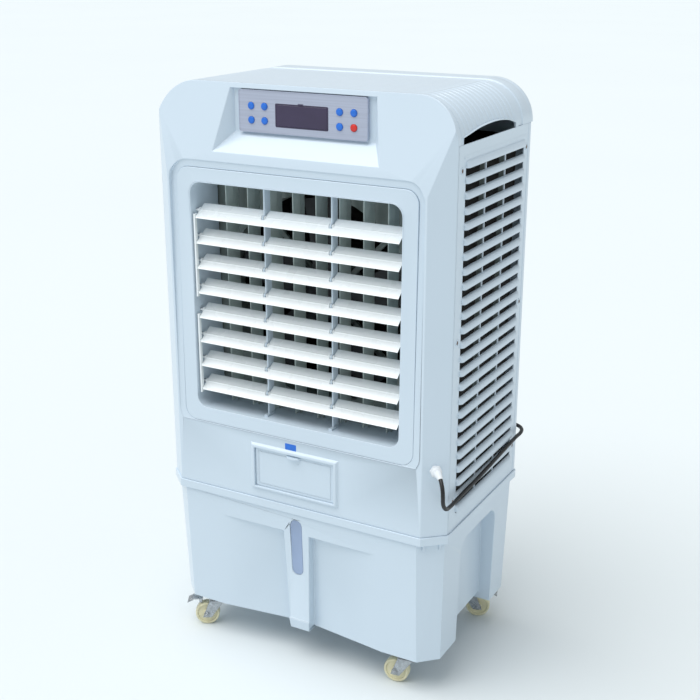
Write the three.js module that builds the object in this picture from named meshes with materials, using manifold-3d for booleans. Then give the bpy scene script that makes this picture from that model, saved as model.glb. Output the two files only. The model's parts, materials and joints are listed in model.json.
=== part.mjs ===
// Portable evaporative cooler on casters. Millimetres, +Z up, front towards -Y.
import * as THREE from 'three';
import { ConvexGeometry } from 'three/addons/geometries/ConvexGeometry.js';
import { mergeVertices } from 'three/addons/utils/BufferGeometryUtils.js';
import Module from 'manifold-3d';

const wasm = await Module();
wasm.setup();

// Working frame: y = 0 is the flat front, z = 0 the underside of the base tray's lip.
// The last step moves everything so that the origin is the middle of the footprint on the floor.
const HALF_W = 300;          // housing half width
const DEPTH = 370;           // housing depth
const TOP_Z = 790;           // top of the cover
const LIP_H = 16;            // height of the tray's lip
const LIP_OUT = 3;           // how far the lip stands out
const FRONT_FLAT = 262.7;    // half width of the flat front
const FRONT_CUT = 33.3;      // depth of the front corner chamfer
const REAR_CUT = 12;         // rear corner chamfer
const LEAN_Z = 632;          // the fascia leans back above this height
const LEAN = 0.285;          // slope of the leaning fascia
const TOP_R = 77;            // radius of the upper left and right corners
const SEAM_Y = 47;           // front panel meets top cover
const SIDE_Y = 37.3;         // front panel meets side grille
const SEAM_Z = 712;          // grilles meet top cover
const WALL = 3;              // moulded wall
const GAP = 0.3;             // clearance between neighbouring pieces
const TANK_H = 252.6;        // tank height below the lip
const CASTER_H = 72.4;       // tank underside to the floor
const OPEN_X = 215.6;        // outlet opening, half width
const OPEN_Z0 = 179.1;       // outlet opening, bottom
const OPEN_Z1 = 613.9;       // outlet opening, top
const BEZEL = 29;            // face width of the outlet bezel
const SLEEVE_Y = 92;         // back end of the outlet sleeve
const BLADE_N = 8;           // louvre blades
const BLADE_PITCH = 47.8;
const BLADE_CHORD = 38;
const BLADE_TILT = 35;       // degrees, front edge low
const BLADE_Y = 23.6;        // blade pivots
const BLADE_Z = 223.9;       // lowest blade's pivot
const SUPPORT_X = 69.5;      // upright supports, each side of the middle
const VANE_N = 8;            // upright vanes
const VANE_PITCH = 47.9;
const VANE_Y = 68;           // vane pivots
const VANE_D = 40;
const LINK_Z = 391.2;        // height of the vane link bar
const FAN_Z = 396.5;         // fan axis
const FAN_R = 198;           // fan opening radius
const SLAT_N = 25;           // grille slats
const SLAT_PITCH = 26;
const SLAT_TOP = 684;
const WHEEL_R = 25;
const CORD_R = 3.75;
const FLOOR_Z = -TANK_H - CASTER_H;
const REAR_Y = 396;          // rearmost point, the cord hook
const FRONT_Y = -9;          // foremost point, the door pull
const MID_Y = (REAR_Y + FRONT_Y) / 2;

const V = (x, y, z) => new THREE.Vector3(x, y, z);
const rad = (a) => a * Math.PI / 180;

// ---------- solids ----------
function solid(geometry) {
  const g = geometry.index ? geometry.toNonIndexed() : geometry.clone();
  g.deleteAttribute('normal');
  g.deleteAttribute('uv');
  const m = mergeVertices(g, 1e-4);
  const mesh = new wasm.Mesh({
    numProp: 3,
    vertProperties: new Float32Array(m.attributes.position.array),
    triVerts: new Uint32Array(m.index.array),
  });
  return new wasm.Manifold(mesh);
}

function toGeometry(manifold) {
  const mesh = manifold.getMesh();
  const g = new THREE.BufferGeometry();
  g.setAttribute('position', new THREE.BufferAttribute(new Float32Array(mesh.vertProperties), 3));
  g.setIndex(new THREE.BufferAttribute(new Uint32Array(mesh.triVerts), 1));
  return g;
}

function join(list) {
  return list.slice(1).reduce((a, b) => a.add(b), list[0]);
}

function cut(base, list) {
  return list.reduce((a, b) => a.subtract(b), base);
}

function box(x0, x1, y0, y1, z0, z1) {
  const g = new THREE.BoxGeometry(x1 - x0, y1 - y0, z1 - z0);
  g.translate((x0 + x1) / 2, (y0 + y1) / 2, (z0 + z1) / 2);
  return solid(g);
}

function hull(points) {
  return solid(new ConvexGeometry(points.map((p) => V(p[0], p[1], p[2]))));
}

// A cylinder between two points.
function rod(a, b, r, seg = 12, r2 = r) {
  const from = V(...a);
  const dir = V(...b).sub(from);
  const g = new THREE.CylinderGeometry(r2, r, dir.length(), seg);
  g.translate(0, dir.length() / 2, 0);
  g.applyQuaternion(new THREE.Quaternion().setFromUnitVectors(V(0, 1, 0), dir.clone().normalize()));
  g.translate(...a);
  return solid(g);
}

// A lathe profile of [radius, height] turned about an axis through a point.
function turned(profile, centre, axis, seg = 24, start = 0) {
  const g = new THREE.LatheGeometry(profile.map((p) => new THREE.Vector2(p[0], p[1])), seg);
  g.rotateY(start);
  g.applyQuaternion(new THREE.Quaternion().setFromUnitVectors(V(0, 1, 0), V(...axis).normalize()));
  g.translate(...centre);
  return solid(g);
}

function outline(points) {
  return new THREE.Shape(points.map((p) => new THREE.Vector2(p[0], p[1])));
}

function roundRect(x0, x1, y0, y1, r) {
  const s = new THREE.Shape();
  s.moveTo(x0 + r, y0);
  s.absarc(x1 - r, y0 + r, r, -Math.PI / 2, 0, false);
  s.absarc(x1 - r, y1 - r, r, 0, Math.PI / 2, false);
  s.absarc(x0 + r, y1 - r, r, Math.PI / 2, Math.PI, false);
  s.absarc(x0 + r, y0 + r, r, Math.PI, 1.5 * Math.PI, false);
  return s;
}

// Extrusions: a plan shape (x, y) up Z, a front shape (x, z) along Y, a side shape (y, z) along X.
function planSolid(shape, z0, z1, seg = 5) {
  const g = new THREE.ExtrudeGeometry(shape, { depth: z1 - z0, bevelEnabled: false, curveSegments: seg });
  g.translate(0, 0, z0);
  return solid(g);
}

function frontSolid(shape, y0, y1, seg = 5) {
  const g = new THREE.ExtrudeGeometry(shape, { depth: y1 - y0, bevelEnabled: false, curveSegments: seg });
  g.rotateX(Math.PI / 2);
  g.translate(0, y1, 0);
  return solid(g);
}

function sideSolid(shape, x0, x1, seg = 5) {
  const g = new THREE.ExtrudeGeometry(shape, { depth: x1 - x0, bevelEnabled: false, curveSegments: seg });
  g.applyMatrix4(new THREE.Matrix4().makeBasis(V(0, 1, 0), V(0, 0, 1), V(1, 0, 0)));
  g.translate(x0, 0, 0);
  return solid(g);
}

// ---------- materials ----------
function paint(color, roughness, metalness = 0) {
  return new THREE.MeshStandardMaterial({ color, roughness, metalness });
}

const PALE = paint(0xd9e6f2, 0.35);
const PAD = paint(0x2a251f, 0.95);
const DARK = paint(0x23262a, 0.6);
const PLATE = paint(0xb6bac9, 0.4);
const SCREEN = paint(0x1c1626, 0.12);
const BLUE = paint(0x2b6fd6, 0.4);
const RED = paint(0xd2332b, 0.4);
const GLASS = paint(0x8da0bd, 0.2);
const ZINC = paint(0xb9bdc2, 0.35, 0.9);
const NYLON = paint(0xe9e4c6, 0.45);
const STEEL = paint(0x8c9095, 0.4, 0.8);
const BLACK = paint(0x121214, 0.5);
const WHITE = paint(0xeef2f5, 0.4);

const cooler = new THREE.Group();

function place(name, manifold, material) {
  const g = toGeometry(manifold);
  g.translate(0, -MID_Y, -FLOOR_Z);
  const mesh = new THREE.Mesh(g, material);
  mesh.name = name;
  cooler.add(mesh);
}

// ---------- water tank ----------
// Plan of the tank at one height: flat half width, front y, side x, chamfer y, rear y.
function tankRing(flat, front, side, corner, rear, z) {
  const pts = [];
  for (const s of [-1, 1]) {
    pts.push([s * flat, front, z], [s * side, corner, z]);
    pts.push([s * side, rear - 12, z], [s * (side - 12), rear, z]);
  }
  return pts;
}

const ARCH = [117, 284];
const ARCH_IN = 28;
const ARCH_TOP = -36;
const PANEL_IN = 20;
const RIB_TOP = 28;
const RIB_FOOT = 21;

function archSolid(s, grow) {
  const shape = new THREE.Shape();
  const r = 30;
  const [y0, y1] = [ARCH[0] - grow, ARCH[1] + grow];
  const top = ARCH_TOP + grow;
  shape.moveTo(y0, -300);
  shape.lineTo(y1, -300);
  shape.absarc(y1 - r, top - r, r, 0, Math.PI / 2, false);
  shape.absarc(y0 + r, top - r, r, Math.PI / 2, Math.PI, false);
  const inner = 291 - ARCH_IN - grow;
  return s > 0 ? sideSolid(shape, inner, 310) : sideSolid(shape, -310, -inner);
}

function panelRecess(s, grow) {
  const pts = [];
  for (const [z, rib] of [[-44 + grow, RIB_TOP], [-300, RIB_FOOT - 1]]) {
    const lift = z > -100 ? 0 : 12.5;
    pts.push([s * (rib - grow), -20 + lift, z], [s * (rib - grow), 1.4 + PANEL_IN + lift + grow, z]);
    pts.push([s * (182 + grow * 3), 1.4 + lift + grow, z], [s * (182 + grow * 3), -20 + lift, z]);
  }
  return hull(pts);
}

const tankOuter = hull([
  ...tankRing(254, 1.4, 294, 37, 368, -GAP),
  ...tankRing(254, 12, 288, 45, 360, -TANK_H),
]);
const tankInner = hull([
  ...tankRing(252, 1.4 + WALL, 291, 39, 365, 5),
  ...tankRing(252, 12 + WALL, 285, 47, 357, -TANK_H + 4),
]);
const tankCuts = (grow) => [
  archSolid(1, grow), archSolid(-1, grow),
  panelRecess(1, grow), panelRecess(-1, grow),
  box(-310, 310, ARCH[0] - grow, ARCH[1] + grow, -300, -238 + grow),
];
const ribFoot = hull([
  [-22.5, 8, -235], [22.5, 8, -235], [-22.5, 40, -235], [22.5, 40, -235],
  [-21, 12, -TANK_H - 5], [21, 12, -TANK_H - 5], [-21, 38, -TANK_H - 5], [21, 38, -TANK_H - 5],
]);
const glassSlot = (g) => frontSolid(roundRect(-12 - g, 12 + g, -133 - g, -15 + g, 11.9 + g), -10, 9);
const ribBack = frontSolid(roundRect(-18, 18, -140, -8, 6), 2, 13);
const ribFront = hull([
  [-60, 1.4, 0], [60, 1.4, 0], [-60, 20, 0], [60, 20, 0],
  [-60, 12, -TANK_H], [60, 12, -TANK_H], [-60, 30, -TANK_H], [60, 30, -TANK_H],
]);
const tank = cut(
  cut(tankOuter, tankCuts(0)).subtract(cut(tankInner, tankCuts(WALL)))
    .add(ribBack.intersect(ribFront)).add(ribFoot),
  [glassSlot(GAP)],
);
place('water_tank', tank, PALE);

const glassFace = hull([
  [-20, 2, 0], [20, 2, 0], [-20, 12, 0], [20, 12, 0],
  [-20, 8, -140], [20, 8, -140], [-20, 16, -140], [20, 16, -140],
]);
place('sight_glass', glassSlot(0).intersect(glassFace), GLASS);

// ---------- base tray ----------
function housingPlan(out) {
  const f = FRONT_FLAT + out * 0.4;
  return [
    [-HALF_W - out, FRONT_CUT - out * 0.4], [-f, -out], [f, -out], [HALF_W + out, FRONT_CUT - out * 0.4],
    [HALF_W + out, DEPTH - REAR_CUT + out * 0.4], [HALF_W - REAR_CUT + out * 0.4, DEPTH + out],
    [-HALF_W + REAR_CUT - out * 0.4, DEPTH + out], [-HALF_W - out, DEPTH - REAR_CUT + out * 0.4],
  ];
}

const tray = cut(planSolid(outline(housingPlan(LIP_OUT)), 0, LIP_H), [
  planSolid(outline(housingPlan(-WALL)), 4, 30),
  planSolid(roundRect(-80, 80, 14, 84, 10), -5, 30, 2),
  planSolid(roundRect(-190, -70, 150, 300, 12), -5, 30, 2),
  planSolid(roundRect(-40, 80, 150, 300, 12), -5, 30, 2),
  box(255, 285, 110, 320, -5, 30),
  box(-285, -255, 110, 320, -5, 30),
]);
place('base_tray', tray, PALE);

// ---------- front panel ----------
// Half space behind the leaning fascia, as a convex block.
function leanBlock(inset, back, x = 320) {
  const y = (z) => LEAN * (z - LEAN_Z) + inset;
  const pts = [];
  for (const s of [-x, x]) {
    pts.push([s, inset, -10], [s, inset, LEAN_Z], [s, y(830), 830], [s, back, -10], [s, back, 830]);
  }
  return hull(pts);
}

function topProfile(inset, z0) {
  const s = new THREE.Shape();
  const [x, z, r] = [HALF_W - inset, TOP_Z - inset, TOP_R - inset];
  s.moveTo(-x, z0);
  s.lineTo(x, z0);
  s.absarc(x - r, z - r, r, 0, Math.PI / 2, false);
  s.absarc(-x + r, z - r, r, Math.PI / 2, Math.PI, false);
  return s;
}

function frontBody(inset, y1) {
  const plan = outline([
    [-HALF_W + inset, y1], [-HALF_W + inset, FRONT_CUT + inset * 0.4], [-FRONT_FLAT + inset * 0.4, inset],
    [FRONT_FLAT - inset * 0.4, inset], [HALF_W - inset, FRONT_CUT + inset * 0.4], [HALF_W - inset, y1],
  ]);
  return planSolid(plan, LIP_H + GAP - inset * 2, 830)
    .intersect(leanBlock(inset, 100))
    .intersect(frontSolid(topProfile(inset, -20), -20, 100, 8));
}

const PLATE_X = 129.3;
const PLATE_Z = [706, 779.6];
function recess(grow) {
  const back = 50 + grow;
  const [z0, z1] = [704 - grow, 781.5 + grow];
  const x = 142 + grow;
  const pts = [];
  for (const s of [-1, 1]) {
    pts.push([s * x, back, z0], [s * x, back, z1]);
    pts.push([s * (x + 52), back - 78, z0 - 66], [s * (x + 52), back - 78, z1]);
  }
  return hull(pts);
}

const bezelX = OPEN_X + BEZEL;
const bezelZ = [OPEN_Z0 - BEZEL, OPEN_Z1 + BEZEL - 2.6];
const DOOR = [86, 42, 121];
const frontShell = frontBody(0, SEAM_Y).subtract(frontBody(WALL, 60));
const sinkBand = hull([
  [-258, -20, 149], [258, -20, 149], [-258, -20, 654], [258, -20, 654],
  [-258, 0.05, 149], [258, 0.05, 149], [-258, 8.5, 654], [258, 8.5, 654],
]).intersect(frontSolid(roundRect(-258, 258, 135, 654, 36), -30, 30));
const bezelRing = frontSolid(roundRect(-262, 262, 136, 658, 38), 1, 11).intersect(leanBlock(1, 60));
const doorFrame = (y0) => hull([
  [-95, 0, 34.9], [95, 0, 34.9], [-95, 0, 129.7], [95, 0, 129.7],
  [-91, y0, 38.5], [91, y0, 38.5], [-91, y0, 126], [91, y0, 126],
]);
const frontPanel = cut(
  join([
    frontShell,
    bezelRing,
    recess(2.4).intersect(leanBlock(0.5, 90)).intersect(frontSolid(topProfile(4.6, -20), 0, 60, 8)),
    doorFrame(-5).add(box(-92, 92, -0.1, 4.5, 36, 128)),
  ]),
  [
    recess(0),
    sinkBand,
    frontSolid(roundRect(-bezelX - GAP, bezelX + GAP, bezelZ[0] - GAP, bezelZ[1] + GAP, 25), -30, 60),
    box(-DOOR[0], DOOR[0], -20, 20, DOOR[1], DOOR[2]),
    box(-320, -200, SIDE_Y, 60, -10, SEAM_Z + GAP),
    box(200, 320, SIDE_Y, 60, -10, SEAM_Z + GAP),
  ],
);
place('front_panel', frontPanel, PALE);

// ---------- outlet bezel, sleeve and supports ----------
const bezelTilt = hull([
  [-300, 0.3, 140], [300, 0.3, 140], [-300, 5.5, 650], [300, 5.5, 650],
  [-300, 200, 140], [300, 200, 140], [-300, 200, 650], [300, 200, 650],
]);
const bezelFace = frontSolid(roundRect(-bezelX, bezelX, bezelZ[0], bezelZ[1], 24.7), -5, 10);
const sleeve = frontSolid(roundRect(-OPEN_X - 2.5, OPEN_X + 2.5, OPEN_Z0 - 2.5, OPEN_Z1 + 2.5, 24), 4, SLEEVE_Y);
const openingCut = frontSolid(roundRect(-OPEN_X, OPEN_X, OPEN_Z0, OPEN_Z1, 21.5), -10, SLEEVE_Y + 10);
const pivots = [];
for (let i = 0; i < BLADE_N; i += 1) pivots.push(BLADE_Z + i * BLADE_PITCH);
const vaneXs = [];
for (let i = 0; i < VANE_N; i += 1) vaneXs.push((i - (VANE_N - 1) / 2) * VANE_PITCH);
const supports = [-1, 1].map((s) => cut(
  box(s * SUPPORT_X - 1.5, s * SUPPORT_X + 1.5, BLADE_Y + 0.6, 44, OPEN_Z0 - 2, OPEN_Z1 + 2),
  pivots.map((z) => box(s * SUPPORT_X - 5, s * SUPPORT_X + 5, 10, BLADE_Y + 2.7, z - 2.7, z + 2.7)),
));
const bezel = cut(
  join([cut(bezelFace.intersect(bezelTilt).add(sleeve), [openingCut]), ...supports]),
  [
    ...pivots.map((z) => box(-230, -214, BLADE_Y - 2.6, BLADE_Y + 2.6, z - 2.6, z + 2.6)),
    ...pivots.map((z) => box(214, 230, BLADE_Y - 2.6, BLADE_Y + 2.6, z - 2.6, z + 2.6)),
    ...vaneXs.map((x) => box(x - 2.4, x + 2.4, VANE_Y - 2.4, VANE_Y + 2.4, OPEN_Z0 - 6, OPEN_Z0 + 2)),
    ...vaneXs.map((x) => box(x - 2.4, x + 2.4, VANE_Y - 2.4, VANE_Y + 2.4, OPEN_Z1 - 2, OPEN_Z1 + 6)),
  ],
);
place('outlet_bezel', bezel, PALE);

// ---------- louvre blades and their link bars ----------
// Blade section in (y, z) about the pivot: a thin cambered plate, front edge low.
function bladeShape() {
  const c = Math.cos(rad(BLADE_TILT));
  const s = Math.sin(rad(BLADE_TILT));
  const turn = (u, w) => [u * c - w * s, u * s + w * c];
  const upper = [];
  const lower = [];
  for (let i = 0; i <= 3; i += 1) {
    const u = -BLADE_CHORD / 2 + i * BLADE_CHORD / 3;
    const camber = 2 * (1 - (2 * u / BLADE_CHORD) ** 2);
    upper.push(turn(u, camber + 0.1));
    lower.push(turn(u, camber - 1.7));
  }
  return outline([...lower, ...upper.reverse()].map(([y, z]) => [y + BLADE_Y, z]));
}

const bladeTip = [
  BLADE_Y - (BLADE_CHORD / 2 - 3.2) * Math.cos(rad(BLADE_TILT)),
  -(BLADE_CHORD / 2 - 3.2) * Math.sin(rad(BLADE_TILT)) - 0.4,
];
function blade(z) {
  const half = 208.6;
  const plate = sideSolid(bladeShape(), -half, half);
  const slots = [-1, 1].map((s) => {
    const x = s * SUPPORT_X;
    const shape = outline([[BLADE_Y - 6, -7], [60, 20], [60, 60], [BLADE_Y - 6, 12]]);
    return sideSolid(shape, x - 3.5, x + 3.5);
  });
  const spine = rod([-half - 8.5, BLADE_Y, 0], [half + 8.5, BLADE_Y, 0], 2.2, 8);
  const linkPin = rod([-half - 5, bladeTip[0], bladeTip[1]], [-half + 6, bladeTip[0], bladeTip[1]], 1.5, 8);
  const g = toGeometry(join([cut(plate, slots), spine, linkPin]));
  g.translate(0, 0, z);
  return solid(g);
}

pivots.slice().reverse().forEach((z, i) => place(`louvre_${i + 1}`, blade(z), PALE));

function linkBar(zLow) {
  const [y, dz] = bladeTip;
  const top = zLow + 3 * BLADE_PITCH;
  const bar = box(-213, -209.4, y - 3.4, y + 3.4, zLow + dz - 9, top + dz + 5);
  const holes = [0, 1, 2, 3].map((i) => {
    const z = zLow + i * BLADE_PITCH + dz;
    return rod([-220, y, z], [-200, y, z], 2, 8);
  });
  return cut(bar, holes);
}

place('louvre_link_upper', linkBar(pivots[4]), PALE);
place('louvre_link_lower', linkBar(pivots[0]), PALE);

// ---------- upright vanes and their link bar ----------
const LINK_Y = VANE_Y + VANE_D / 2 - 4.5;
vaneXs.forEach((x, i) => {
  const y0 = VANE_Y - VANE_D / 2;
  const y1 = VANE_Y + VANE_D / 2;
  const plate = box(x - 1, x + 1, y0, y1, OPEN_Z0 + 4, OPEN_Z1 - 4);
  const notch = box(x - 3, x + 3, y1 - 10, y1 + 2, LINK_Z - 7, LINK_Z + 7);
  const pin = rod([x, LINK_Y, LINK_Z - 9], [x, LINK_Y, LINK_Z + 9], 1.4, 6);
  const low = rod([x, VANE_Y, OPEN_Z0 - 2.2], [x, VANE_Y, OPEN_Z0 + 10], 2, 8);
  const high = rod([x, VANE_Y, OPEN_Z1 - 10], [x, VANE_Y, OPEN_Z1 + 2.2], 2, 8);
  place(`vane_${i + 1}`, join([cut(plate, [notch]), pin, low, high]), PALE);
});

const vaneBar = cut(
  box(vaneXs[0] - 8, vaneXs[7] + 8, LINK_Y - 3.2, LINK_Y + 3.2, LINK_Z - 2.5, LINK_Z + 2.5),
  vaneXs.map((x) => rod([x, LINK_Y, LINK_Z - 5], [x, LINK_Y, LINK_Z + 5], 1.9, 8)),
);
place('vane_link', vaneBar, PALE);

// ---------- control plate, window and buttons ----------
const BUTTON_R = 6.4;
const buttons = [];
for (const x of [-103, -75.4, 75.4, 103]) {
  for (const z of [752, 727.2]) buttons.push([x, z]);
}
const plate = cut(
  frontSolid(roundRect(-PLATE_X, PLATE_X, PLATE_Z[0], PLATE_Z[1], 5), 43, 49.7, 3),
  [
    box(-PLATE_X + 3, PLATE_X - 3, 45, 60, PLATE_Z[0] + 3, PLATE_Z[1] - 3),
    box(-51 - GAP, 51 + GAP, 30, 60, 720 - GAP, 756.5 + GAP),
    ...buttons.map(([x, z]) => rod([x, 40, z], [x, 60, z], BUTTON_R + 0.7, 10)),
  ],
);
place('control_plate', plate, PLATE);
const screen = join([box(-51, 51, 42.3, 47.5, 720, 756.5), box(-53, 53, 45.3, 47.5, 718, 758.5)]);
place('display_window', screen, SCREEN);
buttons.forEach(([x, z], i) => {
  const profile = [[0, 0], [BUTTON_R, 0], [BUTTON_R, 4.6], [7.6, 4.6], [7.6, 5.8], [0, 5.8]];
  const knob = turned(profile, [x, 40.7, z], [0, 1, 0], 12);
  place(`button_${i + 1}`, knob, i === 7 ? RED : BLUE);
});

// ---------- fill door ----------
const doorLeaf = box(-DOOR[0] + 0.6, DOOR[0] - 0.6, 0, 3, DOOR[1] + 0.6, DOOR[2] - 0.6);
const pull = planSolid((() => {
  const s = new THREE.Shape();
  s.moveTo(-15, 1);
  s.lineTo(-15, -1.5);
  s.quadraticCurveTo(-12, FRONT_Y, 0, FRONT_Y);
  s.quadraticCurveTo(12, FRONT_Y, 15, -1.5);
  s.lineTo(15, 1);
  return s;
})(), DOOR[2] - 6.5, DOOR[2] - 3, 6);
place('fill_door', doorLeaf.add(pull), PALE);

// ---------- side and rear grilles ----------
// Slat section as [outward, down]: a curved awning, open below.
const SLAT = [[-2.4, 0], [0.8, -0.4], [4.2, -5.5], [6, -15], [4.2, -15], [-2.4, -3]];
const slatTops = [];
for (let i = 0; i < SLAT_N; i += 1) slatTops.push(SLAT_TOP - i * SLAT_PITCH);
const WIN_Z = [45, SLAT_TOP - 1];

function grilleSide() {
  const [y0, y1] = [66, 328];
  const z0 = LIP_H + GAP;
  const frame = box(HALF_W - 2.5, HALF_W, SIDE_Y + GAP, DEPTH - REAR_CUT, z0, SEAM_Z);
  const window_ = box(HALF_W - 5, HALF_W + 5, y0, y1, WIN_Z[0], WIN_Z[1]);
  const slats = slatTops.map((z) => frontSolid(
    outline(SLAT.map(([a, b]) => [HALF_W + a, z + b])), y0 - 0.8, y1 + 0.8,
  ));
  const bars = [1, 2].map((k) => {
    const y = y0 + k * (y1 - y0) / 3;
    return cut(box(HALF_W - 12, HALF_W - 1, y - 1.5, y + 1.5, WIN_Z[0] - 4, WIN_Z[1] + 4), [
      box(HALF_W - 2.8, HALF_W + 1, y - 4, y + 4, WIN_Z[0] - 0.5, WIN_Z[1] + 0.5),
    ]);
  });
  return join([cut(frame, [window_]), ...bars, ...slats]);
}

const rightGrille = grilleSide();
place('right_grille', rightGrille, PALE);
place('left_grille', rightGrille.mirror([1, 0, 0]), PALE);

const HOOK = [240, 70, 26];
function grilleRear() {
  const x1 = 262;
  const z0 = LIP_H + GAP;
  const cornerX = HALF_W - REAR_CUT;
  const foreY = DEPTH - REAR_CUT + GAP;
  const rearPlan = (t, y) => outline([
    [-HALF_W + t, y], [HALF_W - t, y], [HALF_W - t, foreY + 0.1],
    [cornerX - t * 0.4, DEPTH - t], [-cornerX + t * 0.4, DEPTH - t], [-HALF_W + t, foreY + 0.1],
  ]);
  const skin = cut(planSolid(rearPlan(0, foreY), z0, SEAM_Z), [
    planSolid(rearPlan(2.5, foreY - 9), z0 - 5, SEAM_Z + 5),
  ]);
  const inner = box(-x1, x1, DEPTH - 20, DEPTH + 20, WIN_Z[0], WIN_Z[1]);
  const slats = slatTops.map((z) => sideSolid(
    outline(SLAT.map(([a, b]) => [DEPTH + a, z + b])), -x1 - 0.8, x1 + 0.8,
  ));
  const bars = [1, 2, 3, 4, 5].map((k) => {
    const x = -x1 + k * (2 * x1) / 6;
    return cut(box(x - 1.5, x + 1.5, DEPTH - 12, DEPTH - 1, WIN_Z[0] - 4, WIN_Z[1] + 4), [
      box(x - 4, x + 4, DEPTH - 2.8, DEPTH + 1, WIN_Z[0] - 0.5, WIN_Z[1] + 0.5),
    ]);
  });
  const [hx, hz, hr] = HOOK;
  const half = (r) => {
    const s = new THREE.Shape();
    s.moveTo(hx - r, hz - 8);
    s.lineTo(hx + r, hz - 8);
    s.absarc(hx, hz, r, 0, Math.PI, false);
    return s;
  };
  const hook = cut(
    frontSolid(half(hr), DEPTH - 2, REAR_Y, 6).add(frontSolid(half(hr + 7), REAR_Y - 2.6, REAR_Y, 6)),
    [frontSolid(half(hr - 3), DEPTH + 3, REAR_Y - 3, 6).intersect(box(0, 300, 0, 500, hz - 30, hz + 60))],
  );
  return join([cut(skin, [inner]), ...bars, ...slats, hook]);
}

place('rear_grille', grilleRear(), PALE);

// ---------- cooling pads ----------
const PAD_Z = [40, 690];
place('right_pad', box(262, 286, 63, 324, PAD_Z[0], PAD_Z[1]), PAD);
place('left_pad', box(-286, -262, 63, 324, PAD_Z[0], PAD_Z[1]), PAD);
place('rear_pad', box(-258, 258, 332, 356, PAD_Z[0], PAD_Z[1]), PAD);

// ---------- top cover ----------
const COVER_WALL = 4;
const coverBlock = (inset, y0, y1, seg = 8) => frontSolid(topProfile(inset, SEAM_Z + GAP - inset), y0, y1, seg);
const grip = (s) => {
  const shape = new THREE.Shape();
  shape.moveTo(52, 700);
  shape.lineTo(283, 700);
  shape.lineTo(283, 721);
  shape.quadraticCurveTo(215, 741, 120, 733);
  shape.quadraticCurveTo(85, 729, 52, 724);
  return s > 0 ? sideSolid(shape, 280, 320, 6) : sideSolid(shape, -320, -280, 6);
};
const channel = cut(
  box(-400, 400, 296, 318, SEAM_Z + 30, 900),
  [frontSolid(topProfile(2, -20), 200, 400, 8)],
);
const cover = cut(coverBlock(0, SEAM_Y + GAP, DEPTH), [
  coverBlock(COVER_WALL, 0, DEPTH - WALL),
  channel,
  grip(1), grip(-1),
]);
place('top_cover', cover, PALE);

// ---------- fan bulkhead, motor and impeller ----------
const BULK_Y = [96, 99];
const ring = (r0, r1, y0, y1, seg) => turned(
  [[r0, y0], [r1, y0], [r1, y1], [r0, y1], [r0, y0]], [0, 0, FAN_Z], [0, 1, 0], seg,
);
const bulkhead = join([
  cut(box(-258, 258, BULK_Y[0], BULK_Y[1], 4.4, 700), [
    rod([0, 50, FAN_Z], [0, 200, FAN_Z], FAN_R, 32),
  ]),
  ring(FAN_R, FAN_R + 3, BULK_Y[0], BULK_Y[1] + 50, 32),
  ...[45, 135, 225, 315].map((a) => {
    const [c, s] = [Math.cos(rad(a)), Math.sin(rad(a))];
    return hull([58, 199].flatMap((r) => [-5, 5].flatMap((w) => [142, 149].map((y) => [
      r * c - w * s, y, FAN_Z + r * s + w * c,
    ]))));
  }),
  ring(54.4, 60, 138, 176, 16),
]);
place('fan_bulkhead', bulkhead, WHITE);
const motor = turned(
  [[0, 127], [6, 127], [6, 140], [40, 140], [53.6, 150], [53.6, 215], [44, 226], [0, 226]],
  [0, 0, FAN_Z], [0, 1, 0], 16,
);
place('fan_motor', motor, DARK);
const fanBlades = [0, 1, 2, 3, 4].map((k) => {
  const pts = [];
  const spin = k * 72 + 10;
  for (const [r, half, rise] of [[34, 16, 11], [188, 36, 9]]) {
    for (const [side, y] of [[-1, 118 + rise], [1, 118 - rise]]) {
      const a = rad(spin) + side * half / r;
      for (const t of [-1.1, 1.1]) pts.push([r * Math.cos(a), y + t, FAN_Z + r * Math.sin(a)]);
    }
  }
  return hull(pts);
});
const hub = cut(turned([[0, 102], [30, 102], [40, 108], [40, 130], [0, 130]], [0, 0, FAN_Z], [0, 1, 0], 16), [
  rod([0, 125, FAN_Z], [0, 140, FAN_Z], 8, 16),
]);
place('fan_impeller', join([hub, ...fanBlades]), DARK);

// ---------- submersible pump with its riser ----------
const pumpAt = [-130, 225];
place('water_pump', join([
  turned([[0, 0], [32, 0], [32, 45], [24, 60], [0, 60]], [...pumpAt, -234.7], [0, 0, 1], 20),
  rod([pumpAt[0], pumpAt[1], -180], [pumpAt[0], pumpAt[1], 694], 8, 12),
]), DARK);

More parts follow.
